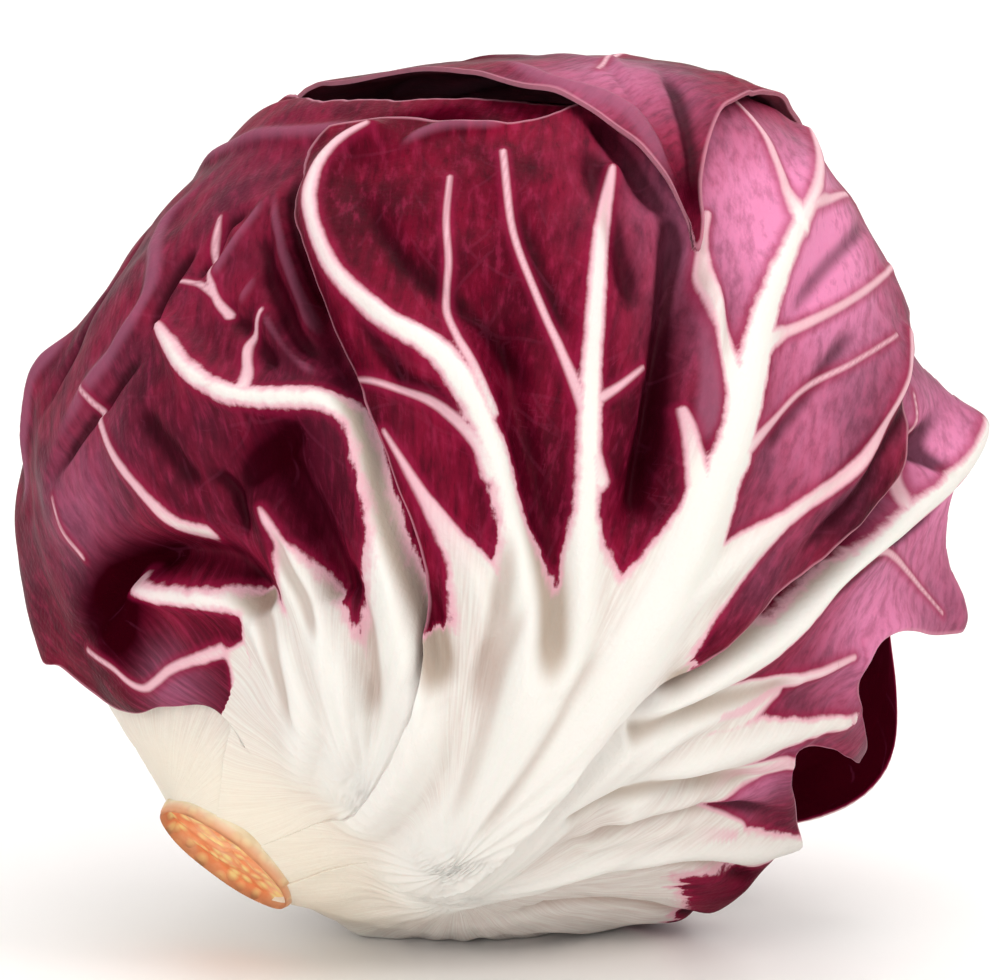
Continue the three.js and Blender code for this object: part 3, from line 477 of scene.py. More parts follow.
BASE_CLOSE = 0.06  # how much of the step between leaves is left where they meet at the stem
MARGIN_WAVE = 1.1
MARGIN_RUFFLE = 0.55


def tatter(x, start):
    """The fine unevenness of a margin."""
    return 0.5 * np.sin(88 * x + start) + 0.3 * np.sin(151 * x + 2 * start) + 0.2 * np.sin(263 * x + 3 * start)


def wave(x, start):
    return np.sin(x * 27 + start) * 0.6 + np.sin(x * 44 + start * 2.3) * 0.4


def three(values, x):
    return np.interp(x, [0, 0.5, 1], values)


def evenly(line, shares):
    """Points at even shares of a line's length."""
    run = np.concatenate([[0], np.cumsum(np.linalg.norm(np.diff(line, axis=0), axis=1))])
    return np.stack([np.interp(shares * run[-1], run, line[:, k]) for k in range(line.shape[1])], axis=-1)


SETTLE_CELLS, SETTLE_ROUNDS = 32, 2500


def settled(grid):
    """The grid with its inner points moved by SETTLE_ROUNDS rounds of Winslow's equations, which keep its cells from
    folding over one another.
    """
    grid = grid.copy()
    for _ in range(SETTLE_ROUNDS):
        left, right, low, high = grid[1:-1, :-2], grid[1:-1, 2:], grid[:-2, 1:-1], grid[2:, 1:-1]
        a = np.sum((high - low) ** 2, axis=-1, keepdims=True)
        b = np.sum((high - low) * (right - left), axis=-1, keepdims=True)
        c = np.sum((right - left) ** 2, axis=-1, keepdims=True)
        twist = grid[2:, 2:] - grid[2:, :-2] - grid[:-2, 2:] + grid[:-2, :-2]
        goal = (a * (left + right) + c * (low + high) - b * twist / 2) / (2 * (a + c))
        grid[1:-1, 1:-1] += 0.8 * (goal - grid[1:-1, 1:-1])
    return grid


class LeafMap:
    """A leaf's own flat map: s runs along its middle from the stem, t across it, in degrees."""

    def __init__(self, leaf):
        self.leaf = leaf
        self.out = way([90, leaf["middle"]])
        self.side = way([90, leaf["middle"] + 90])
        self.left, self.right, self.tip = (
            curve_through(self.flat(leaf[margin]), 24) for margin in ("left", "right", "tip")
        )
        shares = np.linspace(0, 1, SETTLE_CELLS + 1)
        blended = self.blended(*np.meshgrid(shares, shares))
        self.settling = settled(blended) - blended

    def flat(self, places):
        ways = way(places)
        s = np.degrees(np.arctan2(ways @ self.out, ways @ STEM_WAY))
        s = np.where(s < -60, s + 360, s)
        return np.stack([s, np.degrees(np.arcsin(ways @ self.side))], axis=-1)

    def blended(self, u, v):
        """A blend of the four margins at u across (left to right) and v along (stem to tip)."""
        leaf = self.leaf
        u_line, v_line = u[0], v[:, 0]
        around = leaf["left"][0][1] + (leaf["right"][0][1] - leaf["left"][0][1]) * u_line
        base = self.flat(np.stack([np.full_like(around, leaf["left"][0][0]), around], axis=-1))
        left, right = evenly(self.left, v_line), evenly(self.right, v_line)
        tip = evenly(self.tip, u_line)
        u, v = u[..., None], v[..., None]
        across = left[:, None] * (1 - u) + right[:, None] * u
        free = np.sin(math.pi * v_line)
        across[..., 1] += (
            MARGIN_WAVE * (free * wave(v_line, leaf["middle"]))[:, None] * (2 * u[..., 0] - 1) ** 7
        )
        along = base[None] * (1 - v) + tip[None] * v
        across[..., 1] += leaf["ragged"] * (free * tatter(v_line, leaf["middle"]))[:, None] * (2 * u[..., 0] - 1) ** 15
        along[..., 0] += leaf["ragged"] * (np.sin(math.pi * u_line) * tatter(u_line, leaf["middle"]))[None] * v[..., 0] ** 15
        corners = (
            base[0] * (1 - u) * (1 - v) + base[-1] * u * (1 - v) + tip[0] * (1 - u) * v + tip[-1] * u * v
        )
        return across + along - corners

    def ways(self, u, v):
        """Unit vectors for places u across and v along."""
        columns, rows = u * SETTLE_CELLS, v * SETTLE_CELLS
        i, j = (np.minimum(x.astype(int), SETTLE_CELLS - 1) for x in (columns, rows))
        right, high = (columns - i)[..., None], (rows - j)[..., None]
        low_side = self.settling[j, i] * (1 - right) + self.settling[j, i + 1] * right
        high_side = self.settling[j + 1, i] * (1 - right) + self.settling[j + 1, i + 1] * right
        moved = low_side * (1 - high) + high_side * high
        s, t = np.moveaxis(np.radians(self.blended(u, v) + moved), -1, 0)
        return (
            (np.cos(s) * np.cos(t))[..., None] * STEM_WAY
            + (np.sin(s) * np.cos(t))[..., None] * self.out
            + np.sin(t)[..., None] * self.side
        ).reshape(-1, 3)


def leaf_radii(leaf, ways, u, v):
    """Outer and inner distance from the middle of the head, then the ribs, pleats and creases there."""
    lift = leaf["lift"]
    margin = (
        three(lift["left"], v) * np.exp(-((u / 0.1) ** 2))
        + three(lift["right"], v) * np.exp(-(((1 - u) / 0.1) ** 2))
        + three(lift["tip"], u) * np.exp(-(((1 - v) / 0.1) ** 2))
    )
    own = sum((swell(ways, **item) for item in leaf["swells"]), np.zeros(len(ways)))
    edge = smooth(0, 0.12, np.minimum(np.minimum(u, 1 - u), 1 - v))
    ruffle = MARGIN_RUFFLE * (1 - edge) * np.sin(math.pi * v) * wave(u + v, leaf["middle"] + 1)
    raised, sunk = relief(ways)
    blade = 1 - np.clip(raised / 2.2, 0, 1)
    quilted = (0.26 * crumple(ways, 13, SEED) + 0.13 * crumple(ways, 6, SEED + 1)) * blade
    down = degrees_down(ways)
    streaks = 0.16 * np.sin(fan_angle(leaf, ways) * 34 + 2 * crumple(ways, 22, SEED + 2))
    streaks *= smooth(82, 50, down) * smooth(14, 26, down)
    depth = leaf["layer"] * LAYER_STEP * (BASE_CLOSE + (1 - BASE_CLOSE) * smooth(14, 46, down))
    loose = smooth(14, 34, down)
    creased = creases(leaf, ways)
    outer = ball_radius(ways) + raised - sunk - depth + (margin + ruffle) * loose + own + quilted + streaks + creased
    thick = BASE_THICK + (BLADE_THICK - BASE_THICK) * smooth(30, 75, down)
    inner = outer - (RIM_THICK + (thick - RIM_THICK) * smooth(0, 0.05, np.minimum(np.minimum(u, 1 - u), 1 - v)))
    held = over_floor(outer, ways, max(leaf["layer"] - 1, 0) * LAYER_STEP)
    return held, np.minimum(inner, held - RIM_THICK), raised, sunk, creased


def fan_angle(leaf, ways):
    """The angle round the place where a leaf's streaks run together."""
    pole = way(leaf["fan"])
    first = unit(np.cross(pole, [0.3, 0.2, 0.9]))
    second = np.cross(pole, first)
    return np.arctan2(ways @ second, ways @ first)


# ---- fine veins --------------------------------------------------------------------------------
def fine_veins(leaf_name, rng):
    """Curves that leave each rib on both sides and bend towards the leaf's tip."""
    step = 1.6 / BALL_RADIUS
    veins = []
    for rib in [line for line in [*RIBS, *TWIGS] if line["leaf"] == leaf_name]:
        crest = rib["crest"]
        run = np.concatenate([[0], np.cumsum(np.linalg.norm(np.diff(crest, axis=0), axis=1))])
        place, side = rng.uniform(0.02, 0.08), 1
        while place < run[-1]:
            i = min(np.searchsorted(run, place), len(crest) - 1)
            spot = crest[i].copy()
            ahead = unit(crest[min(i + 1, len(crest) - 1)] - crest[max(i - 1, 0)])
            turn = side * math.radians(rng.uniform(34, 58))
            heading = ahead * math.cos(turn) + np.cross(spot, ahead) * math.sin(turn)
            bend = -side * math.radians(rng.uniform(1.5, 4.5))
            points = [spot.copy()]
            for _ in range(rng.integers(5, 13)):
                spot = unit(spot + heading * step)
                heading = unit(heading - (heading @ spot) * spot)
                sway = bend + math.radians(rng.normal(0, 5))
                heading = heading * math.cos(sway) + np.cross(spot, heading) * math.sin(sway)
                points.append(spot.copy())
            veins.append(np.array(points))
            place += rng.uniform(0.045, 0.095)
            side = -side
    return veins


# ---- meshes ------------------------------------------------------------------------------------
def hex_colour(code):
    """An sRGB hex colour as the linear numbers that Blender wants."""
    parts = [int(code[i : i + 2], 16) / 255 for i in (1, 3, 5)]
    return tuple(c / 12.92 if c <= 0.04045 else ((c + 0.055) / 1.055) ** 2.4 for c in parts) + (1.0,)


def mesh_piece(name, points, faces, flat_from, facts, material):
    """A mesh in metres with smooth faces up to flat_from, and one number per point for each fact."""
    mesh = bpy.data.meshes.new(name)
    mesh.from_pydata((points * MM).tolist(), [], faces.tolist())
    mesh.polygons.foreach_set("use_smooth", np.arange(len(faces)) < flat_from)
    for fact, values in facts.items():
        layer = mesh.attributes.new(fact, "FLOAT", "POINT")
        layer.data.foreach_set("value", np.ascontiguousarray(values, dtype=np.float32))
    mesh.materials.append(material)
    mesh.validate()
    mesh.update()
    piece = bpy.data.objects.new(name, mesh)
    bpy.context.scene.collection.objects.link(piece)
    return piece


def turned_outward(points, faces):
    """The faces, turned if they look inward."""
    quads = points[faces[:, :4]]
    normals = np.cross(quads[:, 1] - quads[:, 0], quads[:, 2] - quads[:, 0])
    return faces if np.sum(quads[:, 0] * normals) > 0 else faces[:, ::-1]


def blade_faces(columns, rows):
    """Quads of an outer grid, an inner grid and the rim between them."""
    index = np.arange((columns + 1) * (rows + 1)).reshape(rows + 1, columns + 1)
    a, b, c, d = index[:-1, :-1], index[:-1, 1:], index[1:, 1:], index[1:, :-1]
    outer = np.stack([a, b, c, d], axis=-1).reshape(-1, 4)
    shift = index.size
    inner = outer[:, ::-1] + shift
    loop = np.concatenate([index[0, :-1], index[:-1, -1], index[-1, :0:-1], index[:0:-1, 0]])
    after = np.roll(loop, -1)
    rim = np.stack([after, loop, loop + shift, after + shift], axis=-1)
    return np.vstack([outer, inner, rim]), len(outer) * 2


def margin_distance(points, columns, rows):
    """Rough distance in mm from each grid point to the leaf's margin (the base is left out)."""
    grid = points.reshape(rows + 1, columns + 1, 3)
    across = np.linalg.norm(np.diff(grid, axis=1), axis=2)
    from_left = np.concatenate([np.zeros((rows + 1, 1)), np.cumsum(across, axis=1)], axis=1)
    from_right = from_left[:, -1:] - from_left
    along = np.linalg.norm(np.diff(grid, axis=0), axis=2)
    from_base = np.concatenate([np.zeros((1, columns + 1)), np.cumsum(along, axis=0)], axis=0)
    from_tip = from_base[-1:] - from_base
    return np.minimum(np.minimum(from_left, from_right), from_tip).ravel()


# The red runs down between the ribs in wedges: they narrow over WEDGE_REACH degrees by WEDGE_TAPER mm a
# degree on each side, and any that are wider still end WEDGE_OVERRUN degrees further down.
WEDGE_REACH, WEDGE_TAPER, WEDGE_OVERRUN = 14, 0.22, 5
FOLD_RED = 2.4  # mm that the red gains on the white in the fold that it runs down
FOLD_RUN = 9  # degrees that it runs down further there


def leaf_piece(leaf, material, rng):
    columns, rows = leaf["grid"]
    u, v = np.meshgrid(np.linspace(0, 1, columns + 1), np.linspace(0, 1, rows + 1))
    ways = LeafMap(leaf).ways(u, v)
    u, v = u.ravel(), v.ravel()
    outer, inner, raised, sunk, creased = leaf_radii(leaf, ways, u, v)
    middle = np.array([0, 0, REST_HEIGHT])
    points = np.vstack([middle + ways * outer[:, None], middle + ways * inner[:, None]])
    faces, rim_from = blade_faces(columns, rows)
    faces = turned_outward(points, faces)

    white, slim = np.full(len(ways), 30.0), np.full(len(ways), 4.0)
    for rib in [line for line in [*RIBS, *TWIGS] if line["leaf"] == leaf["name"]]:
        gap, along, _ = nearest(ways, rib["crest"])
        pale = taper(rib["pale"], along) * 0.9
        slim = np.where(gap - pale < white, pale, slim)
        white = np.minimum(white, gap - pale)
    on_rib = smooth(0.8, 0.1, white)
    down = degrees_down(ways)
    turns, downs = np.array(leaf["white_to"], float).T
    order = np.argsort(turns)
    around = degrees_round(ways)
    over_white = down - np.interp(around, turns[order], downs[order])
    white -= WEDGE_TAPER * np.clip(WEDGE_REACH - over_white, 0, 40)
    fold = np.zeros(len(ways))
    for pleat in [line for line in PLEATS if line.get("red") == leaf["name"]]:
        gap, along, _ = nearest(ways, pleat["crest"])
        fold += smooth(0, 0.1, along) * np.exp(-((gap / pleat["half"]) ** 2))
    white += FOLD_RED * fold
    base_edge = np.radians(over_white + WEDGE_OVERRUN + FOLD_RUN * fold) * BALL_RADIUS
    vein, vein_near = np.full(len(ways), 4.0), np.full(len(ways), 4.0)
    for line in fine_veins(leaf["name"], rng):
        gap, along, side = nearest(ways, line, 4.0)
        closer = gap < vein_near
        vein = np.where(closer, gap * side, vein)
        vein_near = np.where(closer, gap + along * 0.12, vein_near)
    # The leaf's own blush together with painted light.
    blush_and_light = sum((swell(ways, **item) for item in leaf["blush_and_light"]), np.zeros(len(ways)))
    # Painted shade where the leaf lies in shadow.
    painted_shade = sum((swell(ways, **item) for item in leaf["painted_shade"]), np.zeros(len(ways)))
    margin = margin_distance(points[: len(ways)], columns, rows)
    facts = dict(
        rib_edge=white, base_edge=base_edge, vein=vein, vein_near=vein_near, blush_and_light=blush_and_light, sunk=sunk,
        margin=margin, down=down, fan=fan_angle(leaf, ways), raised=raised,
        crease=creased, painted_shade=painted_shade, bloom_and_sheen=leaf["bloom_and_sheen"] * smooth(30, 44, down),
        slim=smooth(1.4, 0.5, slim) * on_rib * smooth(-4, 6, over_white), feather=(0.6 + 0.6 * smooth(85, 58, down)) * smooth(0.1, 2.2, slim), feather_base=smooth(88, 58, down) * smooth(0.5, 2.5, slim),
    )
    facts = {name: np.tile(values, 2) for name, values in facts.items()}
    facts["inside"] = np.repeat([0.0, 1.0], len(ways))
    return mesh_piece(leaf["name"] + "_blade", points, faces, rim_from, facts, material)


# ---- materials -----------------------------------------------------------------------------------
def add(tree, kind, inputs=None, stops=None, **settings):
    """Adds a node. inputs maps a socket to a number, a colour or another node's output."""
    made = tree.nodes.new(kind)
    for name, value in settings.items():
        setattr(made, name, value)
    for socket, value in (inputs or {}).items():
        if isinstance(value, bpy.types.NodeSocket):
            tree.links.new(value, made.inputs[socket])
        else:
            made.inputs[socket].default_value = value
    if stops:
        ramp = made.color_ramp
        while len(ramp.elements) < len(stops):
            ramp.elements.new(0.5)
        for element, (place, colour) in zip(ramp.elements, stops):
            element.position, element.color = place, colour
    return made


def new_material(name):
    material = bpy.data.materials.new(name)
    material.use_nodes = True
    material.node_tree.nodes.clear()
    return material


MIX_A, MIX_B, MIX_OUT = 6, 7, 2  # sockets of a colour Mix node


def mixer(tree):
    """Short names for the sums and blends of one node tree."""

    def fact(name):
        return add(tree, "ShaderNodeAttribute", attribute_name=name).outputs["Fac"]

    def sum_of(a, b, operation="ADD", third=0.0):
        return add(tree, "ShaderNodeMath", {0: a, 1: b, 2: third}, operation=operation).outputs[0]

    def blend(factor, a, b):
        return add(tree, "ShaderNodeMix", {0: factor, MIX_A: a, MIX_B: b}, data_type="RGBA").outputs[MIX_OUT]

    def ranged(value, low, high, to_low=0.0, to_high=1.0):
        return add(
            tree, "ShaderNodeMapRange", {0: value, 1: low, 2: high, 3: to_low, 4: to_high},
            interpolation_type="SMOOTHSTEP",
        ).outputs[0]

    def noise(vector, scale, detail=2.0, roughness=0.5):
        return add(
            tree, "ShaderNodeTexNoise",
            {"Vector": vector, "Scale": scale, "Detail": detail, "Roughness": roughness},
        ).outputs[0]

    return fact, sum_of, blend, ranged, noise


def radicchio_leaf():
    """Living leaf, waxy and half matt: wine red between white fleshy ribs, pink where they meet."""
    material = new_material("radicchio_leaf_waxy")
    tree = material.node_tree
    fact, sum_of, blend, ranged, noise = mixer(tree)
    place = add(tree, "ShaderNodeTexCoord").outputs["Object"]
    teeth = noise(place, 700.0, 3.0, 0.6)  # 1.4 mm
    clumps = noise(place, 240.0, 2.0)  # 4 mm
    patches = noise(place, 60.0, 4.0, 0.55)  # 17 mm
    bloom_and_sheen = noise(place, 26.0, 3.0)  # 38 mm
    # Streaks 1.5 mm wide and 15 mm long that run from the stem.
    along_fan = add(
        tree, "ShaderNodeCombineXYZ",
        {0: sum_of(fact("fan"), 34.0, "MULTIPLY"), 1: sum_of(fact("down"), 0.07, "MULTIPLY")},
    ).outputs[0]
    streak = noise(along_fan, 1.0, 3.0)
    fine_streak = noise(along_fan, 2.6, 2.0)
    # Flecks 1.4 mm wide and 4 mm long.
    fleck_at = add(
        tree, "ShaderNodeCombineXYZ",
        {0: sum_of(fact("fan"), 44.0, "MULTIPLY"), 1: sum_of(fact("down"), 0.3, "MULTIPLY")},
    ).outputs[0]
    fleck = noise(fleck_at, 1.0, 4.0, 0.6)

    # Distance in mm from the edge of the white, feathered more strongly towards the stem.
    teeth_off = sum_of(teeth, 0.5, "SUBTRACT")
    clump_off = sum_of(clumps, 0.5, "SUBTRACT")
    streak_off = sum_of(streak, 0.5, "SUBTRACT")
    feather = fact("feather")
    ragged = sum_of(sum_of(teeth_off, 1.5, "MULTIPLY"), sum_of(clump_off, 1.3, "MULTIPLY"))
    ragged = sum_of(ragged, feather, "MULTIPLY")
    ragged = sum_of(sum_of(streak_off, 2.2, "MULTIPLY"), fact("feather_base"), "MULTIPLY_ADD", ragged)
    rib_edge = sum_of(fact("rib_edge"), ragged)
    base_edge = sum_of(streak_off, 6.0, "MULTIPLY_ADD", fact("base_edge"))
    base_edge = sum_of(teeth_off, 3.0, "MULTIPLY_ADD", base_edge)
    edge = sum_of(rib_edge, base_edge, "SMOOTH_MIN", 2.0)

    # Red of the blade: deep wine, crimson by the ribs, painted shade in the folds, a painted highlight on raised
    # creases, a dull mauve bloom that is partly painted sheen.
    wine = blend(ranged(patches, 0.34, 0.66), hex_colour("#4C0216"), hex_colour("#820A2C"))
    wine = blend(ranged(streak, 0.4, 0.72, 0.0, 0.55), wine, hex_colour("#3E0414"))
    wine = blend(ranged(fleck, 0.48, 0.74, 0.0, 0.4), wine, hex_colour("#A4244C"))
    wine = blend(ranged(fleck, 0.48, 0.3, 0.0, 0.55), wine, hex_colour("#34020E"))
    # Dull mauve bloom, partly the leaf's own and partly painted sheen.
    bloom_and_sheen_share = sum_of(ranged(bloom_and_sheen, 0.4, 0.7), fact("bloom_and_sheen"), "MULTIPLY")
    wine = blend(sum_of(bloom_and_sheen_share, 0.62, "MULTIPLY"), wine, hex_colour("#78304C"))
    mottle = ranged(fleck, 0.3, 0.62, 0.72, 1.15)
    # Pink blush, partly the leaf's own and partly painted light on the side that faces the key lamp.
    blush_and_light = add(tree, "ShaderNodeMath", {0: fact("blush_and_light"), 1: mottle}, operation="MULTIPLY", use_clamp=True)
    wine = blend(blush_and_light.outputs[0], wine, hex_colour("#DE86AE"))
    # Painted highlight in mauve on raised creases, and painted shade down the crease grooves.
    wine = blend(ranged(fact("crease"), 0.15, 0.95, 0.0, 0.62), wine, hex_colour("#9C5A74"))
    wine = blend(ranged(fact("crease"), -0.15, -1.1, 0.0, 0.8), wine, hex_colour("#27010A"))
    # Painted shade down the pleats.
    wine = blend(ranged(fact("sunk"), 0.6, 3.0, 0.0, 0.45), wine, hex_colour("#3A0210"))
    # Painted shade: dark wine where the leaf lies in shadow.
    wine = blend(sum_of(fact("painted_shade"), 0.95, "MULTIPLY"), wine, hex_colour("#2E010A"))
    # Fine veins 0.3 mm wide that come and go.
    vein_line = ranged(sum_of(fact("vein"), 0.0, "ABSOLUTE"), 0.32, 0.1)
    vein_line = sum_of(vein_line, ranged(fact("vein_near"), 1.6, 1.0), "MULTIPLY")
    vein_line = sum_of(vein_line, ranged(clumps, 0.36, 0.62), "MULTIPLY")
    wine = blend(sum_of(vein_line, 0.04, "MULTIPLY"), wine, hex_colour("#C45C84"))
    wine = blend(ranged(fact("margin"), 0.7, 0.15, 0.0, 0.6), wine, hex_colour("#CE8A9C"))

    # White: clean on the crests, painted shade of beige and pink-grey in the furrows, cream by the stem.
    furrow_shade = sum_of(ranged(fact("raised"), 2.2, 0.4), ranged(fine_streak, 0.3, 0.7, 0.35, 1.0), "MULTIPLY")
    white = blend(sum_of(furrow_shade, 0.75, "MULTIPLY"), hex_colour("#E8E4DE"), hex_colour("#CFBFB7"))
    white = blend(ranged(streak, 0.42, 0.8, 0.0, 0.5), white, hex_colour("#E4E6DC"))
    white = blend(ranged(fact("down"), 30.0, 12.0, 0.0, 0.6), white, hex_colour("#F6ECD6"))
    # Painted shade, brown-beige, down the pleats on the white.
    white = blend(ranged(fact("sunk"), 0.6, 3.0, 0.0, 0.75), white, hex_colour("#A38C78"))
    # Painted shade down the crease grooves on the white.
    white = blend(ranged(fact("crease"), -0.2, -1.4, 0.0, 0.5), white, hex_colour("#A08070"))
    white = blend(sum_of(fact("slim"), 0.6, "MULTIPLY"), white, hex_colour("#E4A3B6"))
    soft_from = sum_of(fact("feather_base"), -1.3, "MULTIPLY_ADD", -0.7)
    colour = blend(ranged(edge, soft_from, -0.1), white, hex_colour("#DFACB7"))
    halo = blend(0.55, wine, hex_colour("#93173F"))
    colour = blend(ranged(edge, -0.25, 0.35), colour, halo)
    colour = blend(ranged(edge, 0.1, 1.4), colour, wine)
    colour = blend(sum_of(fact("inside"), 0.3, "MULTIPLY"), colour, hex_colour("#B07888"))

    # Skin: grains 0.6 mm across and fine streaks along the leaf.
    grain = noise(place, 1500.0, 2.0)
    height = sum_of(fine_streak, 0.8, "MULTIPLY_ADD", grain)
    height = sum_of(vein_line, 0.05, "MULTIPLY_ADD", height)
    height = sum_of(clumps, 1.2, "MULTIPLY_ADD", height)
    bump = add(tree, "ShaderNodeBump", {"Height": height, "Strength": 0.45, "Distance": 0.0002})
    # The specular sheen fades out under the painted shade.
    skin = add(
        tree, "ShaderNodeBsdfPrincipled",
        {"Base Color": colour, "Roughness": ranged(patches, 0.3, 0.7, 0.42, 0.55), "Normal": bump.outputs[0],
         "Specular IOR Level": ranged(fact("painted_shade"), 0.0, 0.7, 0.035, 0.0), "Subsurface Weight": 0.1, "Subsurface Radius": (0.0022, 0.0009, 0.0008),
         "Subsurface Scale": 1.0},
    )
    add(tree, "ShaderNodeOutputMaterial", {"Surface": skin.outputs[0]})
    return material


def inner_leaf():
    """Living leaf of the closed heart, moist and matt, dark wine with paler streaks."""
    material = new_material("radicchio_inner_leaf")
    tree = material.node_tree
    fact, sum_of, blend, ranged, noise = mixer(tree)
    place = add(tree, "ShaderNodeTexCoord").outputs["Object"]
    colour = blend(ranged(noise(place, 90.0, 3.0), 0.35, 0.65), hex_colour("#3A0414"), hex_colour("#6A1030"))
    skin = add(tree, "ShaderNodeBsdfPrincipled", {"Base Color": colour, "Roughness": 0.5})
    add(tree, "ShaderNodeOutputMaterial", {"Surface": skin.outputs[0]})
    return material


def cut_stem():
    """Cut chicory stem, dried and browned by air: orange-brown flesh with paler bundle ends."""
    material = new_material("stem_cut_oxidised")
    tree = material.node_tree
    place = add(tree, "ShaderNodeTexCoord").outputs["Object"]
    face = add(tree, "ShaderNodeAttribute", attribute_name="cut").outputs["Fac"]
    rim = add(tree, "ShaderNodeAttribute", attribute_name="rim").outputs["Fac"]
    # Bundle ends about 1.4 mm apart.
    spots = add(tree, "ShaderNodeTexVoronoi", {"Vector": place, "Scale": 520.0, "Randomness": 0.9})
    spot = add(tree, "ShaderNodeMapRange", {0: spots.outputs["Distance"], 1: 0.55, 2: 0.2}).outputs[0]
    blotch = add(tree, "ShaderNodeTexNoise", {"Vector": place, "Scale": 170.0, "Detail": 4.0}).outputs[0]
    flesh = add(
        tree, "ShaderNodeValToRGB", {0: blotch},
        stops=[(0.32, hex_colour("#E2733A")), (0.5, hex_colour("#F4925A")), (0.68, hex_colour("#F9BE90"))],
    ).outputs[0]
    flesh = add(tree, "ShaderNodeMix", {0: spot, MIX_A: flesh, MIX_B: hex_colour("#FBD98E")}, data_type="RGBA")
    flesh = add(
        tree, "ShaderNodeMix", {0: rim, MIX_A: flesh.outputs[MIX_OUT], MIX_B: hex_colour("#D98A5C")},
        data_type="RGBA",
    )
    side = add(
        tree, "ShaderNodeValToRGB", {0: blotch},
        stops=[(0.35, hex_colour("#E9D2AC")), (0.65, hex_colour("#F5E8CC"))],
    ).outputs[0]
    colour = add(tree, "ShaderNodeMix", {0: face, MIX_A: side, MIX_B: flesh.outputs[MIX_OUT]}, data_type="RGBA")
    height = add(tree, "ShaderNodeMath", {0: spot, 1: 0.5, 2: blotch}, operation="MULTIPLY_ADD").outputs[0]
    bump = add(tree, "ShaderNodeBump", {"Height": height, "Strength": 0.6, "Distance": 0.0006})
    skin = add(
        tree, "ShaderNodeBsdfPrincipled",
        {"Base Color": colour.outputs[MIX_OUT], "Roughness": 0.62, "Normal": bump.outputs[0],
         "Subsurface Weight": 0.1, "Subsurface Radius": (0.002, 0.001, 0.0005), "Subsurface Scale": 1.0},
    )
    add(tree, "ShaderNodeOutputMaterial", {"Surface": skin.outputs[0]})
    return material


def studio_paint():
    """Matt white painted sweep, rolled smooth."""
    material = new_material("studio_matt_white")
    tree = material.node_tree
    skin = add(
        tree, "ShaderNodeBsdfPrincipled", {"Base Color": hex_colour("#FBF9F7"), "Roughness": 0.36}
    )
    add(tree, "ShaderNodeOutputMaterial", {"Surface": skin.outputs[0]})
    return material


# ---- stem --------------------------------------------------------------------------------------
STEM_SIDES = 160
STEM_FACE_RINGS = 26


def stem_piece(material):
    """A short stub with a worn, slightly dished cut face; points run from its root to its face."""
    side_rings = [(STEM_ROOT, 0.94), (54, 0.97), (57, 1.0), (60, 1.01), (62.4, 1.02), (63.4, 1.0), (64.0, 0.97)]
    face_rings = [(STEM_REACH - 0.25, 0.94 * (1 - i / STEM_FACE_RINGS)) for i in range(STEM_FACE_RINGS)]
    turn = np.linspace(0, 2 * math.pi, STEM_SIDES, endpoint=False)
    points, cut, rim = [], [], []
    for i, (reach, share) in enumerate([*side_rings, *face_rings]):
        worn = STEM_RADIUS * share * (0.98 + 0.02 * np.sin(turn * 3 + 1) + 0.008 * np.sin(turn * 7 + 2))
        on_face = i >= len(side_rings)
        hills = 0.22 * np.sin(worn * 0.9 + 2 * np.cos(turn * 2)) * np.cos(turn * 5 + worn * 0.5)
        lift = hills - 0.35 * (1 - share) ** 2 if on_face else 0 * turn
        spots = (reach + lift)[:, None] * STEM_WAY if on_face else np.outer(np.full_like(turn, reach), STEM_WAY)
        spots = spots + np.outer(worn * np.cos(turn), ROUND_ZERO) + np.outer(worn * np.sin(turn), ROUND_NINETY)
        points.append(spots + [0, 0, REST_HEIGHT])
        cut.append(np.full(STEM_SIDES, 1.0 if on_face else float(smooth(62.4, 64.0, reach))))
        rim.append(np.full(STEM_SIDES, float(np.exp(-(((share - 0.97) / 0.06) ** 2))) if reach > 63 else 0.0))
    root = np.array([0, 0, REST_HEIGHT]) + STEM_WAY * STEM_ROOT
    tip = np.array([0, 0, REST_HEIGHT]) + STEM_WAY * (STEM_REACH - 0.6)
    rings = len(points)
    points = np.vstack([*points, root, tip])
    at = np.arange(STEM_SIDES)
    after = np.roll(at, -1)
    walls = [
        np.stack([ring * STEM_SIDES + at, ring * STEM_SIDES + after, (ring + 1) * STEM_SIDES + after,
                  (ring + 1) * STEM_SIDES + at], axis=-1)
        for ring in range(rings - 1)
    ]
    last = (rings - 1) * STEM_SIDES
    root_at, tip_at = len(points) - 2, len(points) - 1
    caps = [[after[i], at[i], root_at] for i in at] + [[last + at[i], last + after[i], tip_at] for i in at]
    walls = np.vstack(walls)
    outward = turned_outward(points - [0, 0, REST_HEIGHT], walls)
    flip = outward[0][0] != walls[0][0]
    caps = [cap[::-1] for cap in caps] if flip else caps
    mesh = bpy.data.meshes.new("stem_cut")
    mesh.from_pydata((points * MM).tolist(), [], outward.tolist() + [[int(k) for k in cap] for cap in caps])
    mesh.polygons.foreach_set("use_smooth", [True] * len(mesh.polygons))
    facts = dict(cut=np.concatenate([*cut, [0.0, 1.0]]), rim=np.concatenate([*rim, [0.0, 0.0]]))
    for name, values in facts.items():
        mesh.attributes.new(name, "FLOAT", "POINT").data.foreach_set("value", values.astype(np.float32))
    mesh.materials.append(material)
    mesh.validate()
    piece = bpy.data.objects.new("stem_cut", mesh)
    bpy.context.scene.collection.objects.link(piece)
    return piece


# ---- studio --------------------------------------------------------------------------------------
CAMERA_REACH = 0.7
CAMERA_RAISE = math.radians(8)
VIEW_WIDTH = 0.135
SENSOR = 36.0


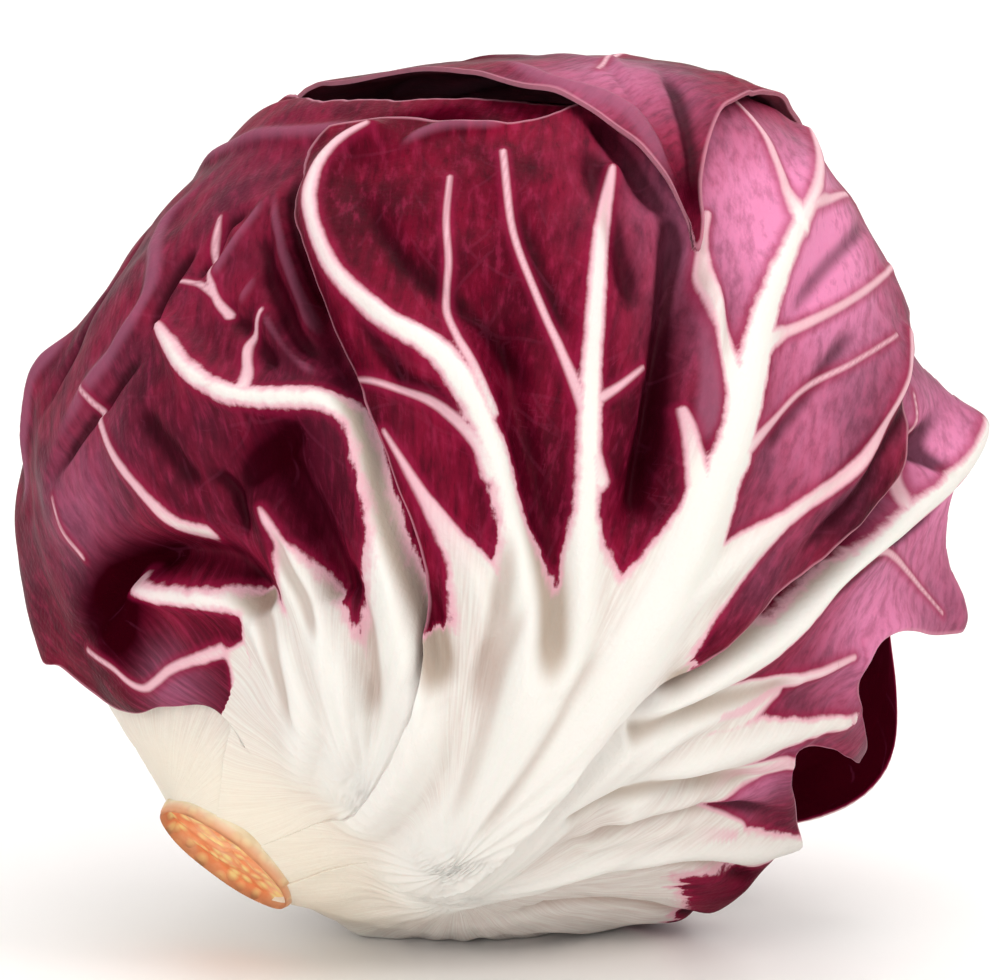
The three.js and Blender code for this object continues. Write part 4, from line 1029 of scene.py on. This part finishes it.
def studio():
    """Pale sweep, soft lights and the camera."""
    depth, bend, wall = 1.4, 0.5, 1.6
    profile = [(-1.6, 0.0), (depth - bend, 0.0)]
    profile += [
        (depth - bend + bend * math.sin(a), bend - bend * math.cos(a))
        for a in np.linspace(0, math.pi / 2, 14)[1:]
    ]
    profile.append((depth, wall))
    points = [(x, y, z - 0.0001) for y, z in profile for x in (-2.2, 2.2)]
    faces = [(2 * i, 2 * i + 1, 2 * i + 3, 2 * i + 2) for i in range(len(profile) - 1)]
    mesh = bpy.data.meshes.new("studio_sweep")
    mesh.from_pydata(points, [], faces)
    mesh.polygons.foreach_set("use_smooth", [True] * len(faces))
    mesh.materials.append(studio_paint())
    sweep = bpy.data.objects.new("studio_sweep", mesh)
    bpy.context.scene.collection.objects.link(sweep)

    head = Vector((0, 0, REST_HEIGHT * MM))
    lamps = [
        # name, place, size, watts, colour
        ("key_right", (0.75, -0.55, 0.75), 0.45, 3.9, "#FFFAF5"),
        ("top_soft", (0.1, -0.35, 1.05), 0.8, 2.8, "#FFFFFF"),
        ("front_low", (-0.5, -1.0, 0.28), 0.8, 5.0, "#FFFFFF"),
        ("wall_wash", (0.0, 0.45, 1.25), 1.0, 9.0, "#FFFFFF"),
    ]
    for name, place, size, watts, colour in lamps:
        light = bpy.data.lights.new(name, "AREA")
        light.size, light.energy, light.color = size, watts, hex_colour(colour)[:3]
        lamp = bpy.data.objects.new(name, light)
        lamp.location = place
        aim = Vector((0, 1.4, 0.25)) if name == "wall_wash" else head
        lamp.rotation_euler = (aim - Vector(place)).to_track_quat("-Z", "Y").to_euler()
        bpy.context.scene.collection.objects.link(lamp)

    world = bpy.data.worlds.new("studio_air")
    world.use_nodes = True
    world.node_tree.nodes["Background"].inputs[0].default_value = hex_colour("#FFFFFF")
    world.node_tree.nodes["Background"].inputs[1].default_value = 0.57
    bpy.context.scene.world = world
    bpy.context.scene.view_settings.view_transform = "Standard"

    lens = bpy.data.cameras.new("camera")
    lens.sensor_width, lens.lens = SENSOR, SENSOR * CAMERA_REACH / VIEW_WIDTH
    lens.clip_start, lens.clip_end = 0.01, 20
    camera = bpy.data.objects.new("camera", lens)
    back = Vector((0, -math.cos(CAMERA_RAISE), math.sin(CAMERA_RAISE)))
    camera.location = head + back * CAMERA_REACH
    camera.rotation_euler = (-back).to_track_quat("-Z", "Y").to_euler()
    bpy.context.scene.collection.objects.link(camera)
    bpy.context.scene.camera = camera


# ---- the head --------------------------------------------------------------------------------------
studio()
leaf_skin = radicchio_leaf()
rng = np.random.default_rng(SEED)
for leaf in LEAVES:
    blade = leaf_piece(leaf, leaf_skin, rng)
    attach(blade, "root")
    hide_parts(leaf["name"])
stem = stem_piece(cut_stem())
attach(stem, "root")
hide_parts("stem")
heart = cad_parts["heart"]
heart.data.materials.clear()
heart.data.materials.append(inner_leaf())
